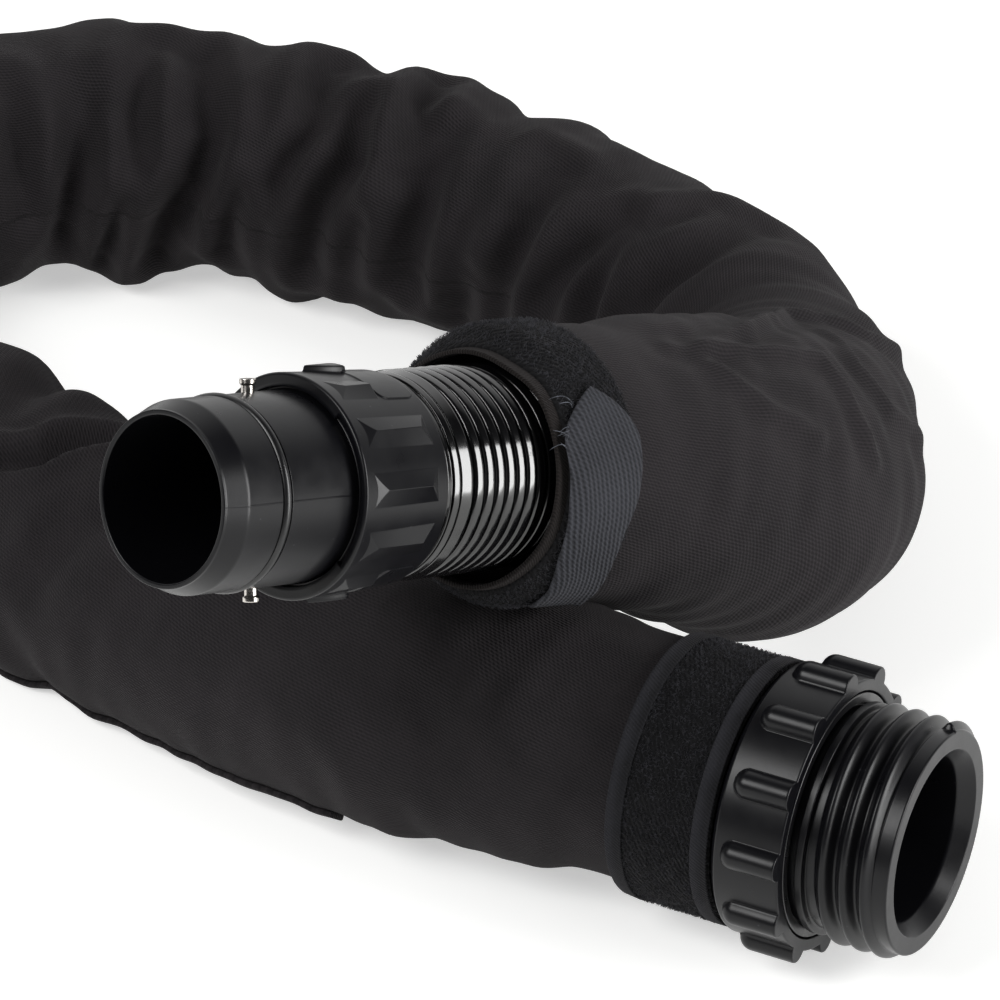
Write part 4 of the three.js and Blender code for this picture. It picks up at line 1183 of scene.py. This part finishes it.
def plain_fibre(name, colour):
    """Nylon monofilament: a thin glossy thread, a little lighter than the cloth."""
    material, tree, shader = new_finish(name)
    where = add(tree, "ShaderNodeTexCoord").outputs["Object"]
    shade = noise_between(tree, where, 1.5, 0.0, 1.0)
    tint = add(tree, "ShaderNodeMix", {
        "Factor": shade, 6: linear("#0c0c0d"), 7: linear(colour)}, data_type="RGBA")
    tree.links.new(tint.outputs[2], shader.inputs["Base Color"])
    set_inputs(shader, Roughness=0.5, IOR=1.53, Specular_IOR_Level=0.3)
    return material


pile_nylon = plain_fibre("loop_pile_nylon", "#3c3c42")
thread_polyester = plain_fibre("frayed_polyester_thread", "#7c808a")


# %% Strips that follow the sleeve
def tape_section(thickness):
    """A flat section with rounded edges, as (share of the half width, lift in mm)."""
    corners = [(-1, 0.02), (1, 0.02), (1, thickness), (-1, thickness)]
    return rounded(corners, min(0.35, 0.45 * thickness), 3)


def tape(name, distance, angle, half_width, thickness, material, lift=0.0, lengthwise=False,
         closed=False):
    """A tape along a line of (distance, angle). Its width lies along the hose, or round it."""
    distance, angle, half_width, lift = np.broadcast_arrays(distance, angle, half_width, lift)
    section = tape_section(thickness)
    across = section[None, :, 0] * half_width[:, None]
    if lengthwise:
        at = np.broadcast_to(distance[:, None], across.shape)
        turn = angle[:, None] + across / cloth_mm_per_degree
        along = distance
    else:
        at = distance[:, None] + across
        turn = np.broadcast_to(angle[:, None], across.shape)
        along = angle * cloth_mm_per_degree
    height = np.broadcast_to(section[None, :, 1], across.shape) + lift[:, None]
    points = on_sleeve(at, turn, height)
    rows, columns = across.shape
    faces = grid_faces(rows, columns, closed)
    flat = points.reshape(-1, 3)
    faces = outward(flat, faces).tolist()
    if not closed:
        first = list(range(columns))
        last = list(range((rows - 1) * columns, rows * columns))
        turned_over = faces[0][1] == faces[0][0] + 1
        faces += [first[::-1], last] if turned_over else [first, last[::-1]]
    piece = mesh_object(name, flat, faces, material)
    cloth = (across * MM, np.broadcast_to(along[:, None] * MM, across.shape), height * MM)
    add_cloth_coordinate(piece, np.stack(cloth, -1))
    return piece


# %% [markdown]
# **Loop pile.** The soft half of a hook-and-loop closure is a knitted ground with thousands
# of fine nylon loops. Each loop is a bent thread of three sides here, about 0.08 mm thick,
# twice the real one, so that it shows. They stand in random directions, as a worn pile does.

# %% Threads
def threads(name, paths, radius_mm, material):
    """One mesh of thin three-sided tubes along paths of shape (count, steps, 3)."""
    count, steps, _ = paths.shape
    tangent = unit(np.gradient(paths, axis=1) + 1e-9)
    helper = unit(rng.normal(size=(count, 1, 3)))
    side = unit(np.cross(tangent, helper))
    other = np.cross(tangent, side)
    turn = np.radians([0, 120, 240])
    ring = np.cos(turn)[:, None] * side[:, :, None] + np.sin(turn)[:, None] * other[:, :, None]
    taper = np.ones(steps)
    taper[[0, -1]] = 0.4
    points = paths[:, :, None] + ring * (radius_mm * MM * taper)[None, :, None, None]
    one = grid_faces(steps, 3, False)
    faces = (one[None] + (np.arange(count) * steps * 3)[:, None, None]).reshape(-1, 4)
    ends = []
    for end in (0, (steps - 1) * 3):
        corner = end + np.arange(count)[:, None] * steps * 3
        order = (0, 2, 1) if end == 0 else (0, 1, 2)
        ends.append(corner + np.array(order)[None])
    faces = faces.tolist() + np.vstack(ends).tolist()
    return mesh_object(name, points.reshape(-1, 3), faces, material)


def loop_paths(distance, angle, lift, height, width, steps=7):
    """Paths of loops that stand on the sleeve at each place, in random directions."""
    foot = on_sleeve(distance, angle, lift)
    top = on_sleeve(distance, angle, lift + 1.0)
    out = unit(top - foot)
    along = unit(rng.normal(size=foot.shape))
    along = unit(along - out * (along * out).sum(-1, keepdims=True))
    lean = unit(np.cross(out, along))
    u = np.linspace(0, 1, steps)[None, :, None]
    rise = (height[:, None, None] * MM) * np.sin(np.pi * u) ** 0.8
    run = (width[:, None, None] * MM) * (u - 0.5 + 0.25 * np.sin(2 * np.pi * u))
    sway = (height[:, None, None] * MM) * 0.5 * np.sin(np.pi * u)
    sway = sway * rng.uniform(-1, 1, (len(foot), 1, 1))
    return foot[:, None] + out[:, None] * rise + along[:, None] * run + lean[:, None] * sway


# %% Loop bands
band_thickness = 1.1
left_band_width = 14.2
left_band_rear = sleeve_end - 0.3 - left_band_width
right_band_rear = -3.5
all_round = np.linspace(0, 360, 160, endpoint=False)


def loop_band(side, rear, width, loops):
    band = tape(f"loop_band_ground_{side}", rear + width / 2, all_round, width / 2,
                band_thickness, band_ground, closed=True)
    distance = rng.uniform(rear + 0.3, rear + width - 0.3, loops)
    angle = rng.uniform(0, 360, loops)
    height, width = rng.uniform(0.2, 0.65, loops), rng.uniform(0.5, 1.3, loops)
    paths = loop_paths(distance, angle, np.full(loops, band_thickness - 0.1), height, width)
    pile = threads(f"loop_pile_{side}", paths, 0.04, pile_nylon)
    dress(band, "hose", "loop_pile", f"loop_band_{side}")
    dress(pile, "hose", "loop_pile")
    print("loops", side, loops)
    return band, pile


left_band = loop_band("left", left_band_rear, left_band_width, 11000)
right_band = loop_band("right", right_band_rear, band_width, 13000)

# %% [markdown]
# **Hems and selvedges.** A narrow herringbone tape binds each mouth of the sleeve. The right
# loop band has a ribbed selvedge along both edges, where the loops leave off; on the left
# one none shows. They are tapes as well, so the same function makes them.

# %% Hem bindings and selvedges
binding_half, binding_thickness = 1.15, 0.9


def hem_binding(side, middle):
    binding = tape(f"hem_binding_tape_{side}", middle, all_round, binding_half, binding_thickness,
                   tape_binding, lift=-0.45, closed=True)
    dress(binding, "hose", "binding_tape", f"hem_binding_{side}")
    return binding


bindings = [hem_binding("left", sleeve_end + 0.55), hem_binding("right", sleeve_start + 0.35)]
selvedge_half, selvedge_thickness = 1.5, 0.45


def right_selvedge(name, middle):
    edge = tape(f"loop_band_selvedge_right_{name}", middle, all_round, selvedge_half,
                selvedge_thickness, selvedge_ribs, lift=band_thickness, closed=True)
    dress(edge, "hose", "binding_tape")
    return edge


selvedge_inset = selvedge_half + 0.1
selvedges = [right_selvedge("front", right_band_rear + selvedge_inset),
             right_selvedge("rear", right_band_rear + band_width - selvedge_inset)]

# %% [markdown]
# ** Hook tabs.** The hook half is a stiff tape that closes the sleeve's end. It is sewn down
# as far as its fold, and from there it peels off the loop pile; here the strip is one piece
# that lies on the sleeve. Its free end is cut round.

# %% Hook tabs
tab_thickness = 0.6
tab_half_width = 7.9
tab_radius = 23.2
bend_half_turn = 3.0  # degrees on each side of the fold over which the tape bends


def hook_tab(side, end, turns, middle, half_width, fold):
    """A strip round the sleeve at the given turns about the end's axis, in degrees."""
    turns, middle, half_width = np.broadcast_arrays(turns, middle, half_width)
    if end is bayonet_end:
        distance, angle = hose_length / MM + middle, 180 - turns
    else:
        distance, angle = -middle, turns
    strip = tape(f"hook_tape_{side}", distance, angle, half_width, tab_thickness, hook_tape,
                 lift=band_thickness + 0.5)
    height = float(np.mean(middle))
    start = end.place(tab_radius, fold - bend_half_turn, height)
    finish = end.place(tab_radius, fold + bend_half_turn, height)
    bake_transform(strip)
    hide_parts(f"hook_tab_{side}", f"hook_flap_{side}")
    return strip


def rounded_end(turns, starts, free):
    """Share of the width that is left at each turn of a rounded free end."""
    share = np.clip((turns - starts) / (free - starts), 0, 1)
    return np.clip(1 - share ** 1.6, 0.0001, 1) ** 0.8


left_turns = np.concatenate([np.linspace(-52, 34, 60), 53 - 19 * np.linspace(1, 0, 16)[1:] ** 2])
left_middle = np.interp(left_turns, (-52, -38, -19, -7, 5, 20, 34, 53),
                        (-29.8, -28.8, -26.4, -25.7, -25.9, -26.1, -25.8, -25.8))
left_half = np.interp(left_turns, (-52, -38, -7, 8, 30), (5.8, 5.8, 6.2, 7.3, tab_half_width))
left_half = left_half * rounded_end(left_turns, 31, 53)
left_tab = hook_tab("left", bayonet_end, left_turns, left_middle, left_half, -5.0)

right_turns = np.concatenate([np.linspace(-84, 10, 60), 30 - 20 * np.linspace(1, 0, 16)[1:] ** 2])
right_half = 7.7 * rounded_end(right_turns, 8, 30)
right_tab = hook_tab("right", threaded_end, right_turns, -5.7, right_half, -29.0)

# %% [markdown]
# **Frayed threads.** A few polyester threads have come loose along the edge of the left tab.
# Particle hair could make them, but for nine threads a path each, with a random length and
# curl, is simpler, and the function for thin tubes is there already.

# %% Frayed threads at the left tab's edge
frayed = 9
frayed_turns, frayed_edge = (28, 48), (-17.4, -21.5)


def frayed_threads():
    turn = rng.uniform(*frayed_turns, frayed)
    edge = np.interp(turn, frayed_turns, frayed_edge)
    foot = on_sleeve(hose_length / MM + edge, 180 - turn, np.full(frayed, 1.9))
    out = unit(on_sleeve(hose_length / MM + edge, 180 - turn, np.full(frayed, 2.9)) - foot)
    run = unit(bayonet_end.z + 0.5 * rng.normal(size=(frayed, 3)))
    u = np.linspace(0, 1, 9)[None, :, None]
    length = rng.uniform(1.5, 4.0, (frayed, 1, 1)) * MM
    curl = unit(np.cross(out, run))[:, None] * rng.uniform(-1.2, 1.2, (frayed, 1, 1)) * MM
    paths = foot[:, None] + run[:, None] * length * u + curl * np.sin(2.2 * u)
    paths = paths + out[:, None] * 0.9 * MM * np.sin(np.pi * u)
    piece = threads("frayed_threads_left", paths, 0.05, thread_polyester)
    dress(piece, "left_flap", "hook_tape")


frayed_threads()

# %% [markdown]
# **Seam.** One lengthwise seam closes the cloth to a tube. Its doubled edge stands up from
# the sleeve low on the front run, and a tape laid lengthwise gives it.

# %% Seam
seam_stations = np.linspace(69.5, 192, 120)
seam_angle = np.interp(seam_stations, (69.5, 88, 108, 192), (232, 230, 236, 238))
seam = tape("sleeve_seam_fold", seam_stations, seam_angle, 2.1, 1.15, black_twill,
            lengthwise=True)
dress(seam, "hose", "sleeve_cloth", "sleeve_seam")

# %% [markdown]
# ## The soft pieces
#
# The hose and the cloth are soft on the real object.

# %% [markdown]
# ## Floor, light and background
#
# A plain pale floor, a tall soft light on the right, a wide one on the left and a white
# surround. The camera sees the surround and the floor as white. In reflections the surround
# is white only behind the object and nearly black in front of it, so that black plastic
# keeps dark faces, and it gives the object a low, even light.

# %% Floor
floor_glow = 0.5  # what the camera and reflections see on top of the lit floor
floor_size = 4.0


def pale_floor():
    material, tree, shader = new_finish("pale_floor")
    set_inputs(shader, Base_Color=linear("#e4e4e2"), Roughness=0.9)
    rays = add(tree, "ShaderNodeLightPath")
    seen = add(tree, "ShaderNodeMath", {
        0: rays.outputs["Is Camera Ray"], 1: rays.outputs["Is Glossy Ray"]}, operation="MAXIMUM")
    seen = add(tree, "ShaderNodeMath", {
        0: seen.outputs[0], 1: rays.outputs["Is Transmission Ray"]}, operation="MAXIMUM")
    glow = add(tree, "ShaderNodeEmission", {"Color": linear("#ffffff"), "Strength": floor_glow})
    lit = add(tree, "ShaderNodeAddShader", {0: shader.outputs[0], 1: glow.outputs[0]})
    both = add(tree, "ShaderNodeMixShader", {
        0: seen.outputs[0], 1: shader.outputs[0], 2: lit.outputs[0]})
    output = next(node for node in tree.nodes if node.type == "OUTPUT_MATERIAL")
    tree.links.new(both.outputs[0], output.inputs["Surface"])
    corners = [(x * floor_size, y * floor_size, 0) for x, y in ((-1, -1), (1, -1), (1, 1), (-1, 1))]
    return mesh_object("floor", corners, [(0, 1, 2, 3)], material)


floor = pale_floor()


# %% Lights and surround
def soft_light(name, direction, distance, width, height, power, roll=0):
    """A softbox aimed at the object, rolled about its own middle line by degrees."""
    lamp = bpy.data.lights.new(name, "AREA")
    lamp.shape = "RECTANGLE"
    lamp.size, lamp.size_y = width, height
    lamp.energy = power
    piece = bpy.data.objects.new(name, lamp)
    bpy.context.scene.collection.objects.link(piece)
    direction = Vector(direction).normalized()
    piece.location = Vector(camera_target) + direction * distance
    aimed = direction.to_track_quat("Z", "Y") @ Quaternion((0, 0, 1), math.radians(roll))
    piece.rotation_euler = aimed.to_euler()


soft_light("softbox on the right", (0.856, -0.434, 0.283), 1.116, 0.86, 0.42, 14, roll=66)
soft_light("softbox on the left", (-0.6, -0.43, 0.67), 1.1, 0.6, 0.5, 8)


even_light = 0.3  # how bright the surround is as a light
front_reflection = 0.03  # how bright it is in reflections in front of the object


def white_surround():
    world = bpy.data.worlds.new("white surround")
    bpy.context.scene.world = world
    world.use_nodes = True
    tree = world.node_tree
    tree.nodes.clear()
    rays = add(tree, "ShaderNodeLightPath")
    towards = add(tree, "ShaderNodeSeparateXYZ", {
        "Vector": add(tree, "ShaderNodeTexCoord").outputs["Generated"]})
    backdrop = add(tree, "ShaderNodeMapRange", {
        "Value": towards.outputs["Y"], "From Min": 0.3, "From Max": 0.7,
        "To Min": front_reflection, "To Max": 1.0})
    mirrored = add(tree, "ShaderNodeMath", {
        0: rays.outputs["Is Glossy Ray"], 1: rays.outputs["Is Transmission Ray"]},
        operation="MAXIMUM")
    mirrored = add(tree, "ShaderNodeMath", {
        0: mirrored.outputs[0], 1: backdrop.outputs["Result"]}, operation="MULTIPLY")
    seen = add(tree, "ShaderNodeMath", {
        0: rays.outputs["Is Camera Ray"], 1: mirrored.outputs[0]}, operation="MAXIMUM")
    strength = add(tree, "ShaderNodeMath", {
        0: seen.outputs[0], 1: add(tree, "ShaderNodeMath", {
            0: rays.outputs["Is Diffuse Ray"], 1: even_light}, operation="MULTIPLY").outputs[0]},
        operation="MAXIMUM")
    white = add(tree, "ShaderNodeBackground", {
        "Color": linear("#ffffff"), "Strength": strength.outputs[0]})
    add(tree, "ShaderNodeOutputWorld", {"Surface": white.outputs[0]})


white_surround()
bpy.context.scene.view_settings.view_transform = "Standard"
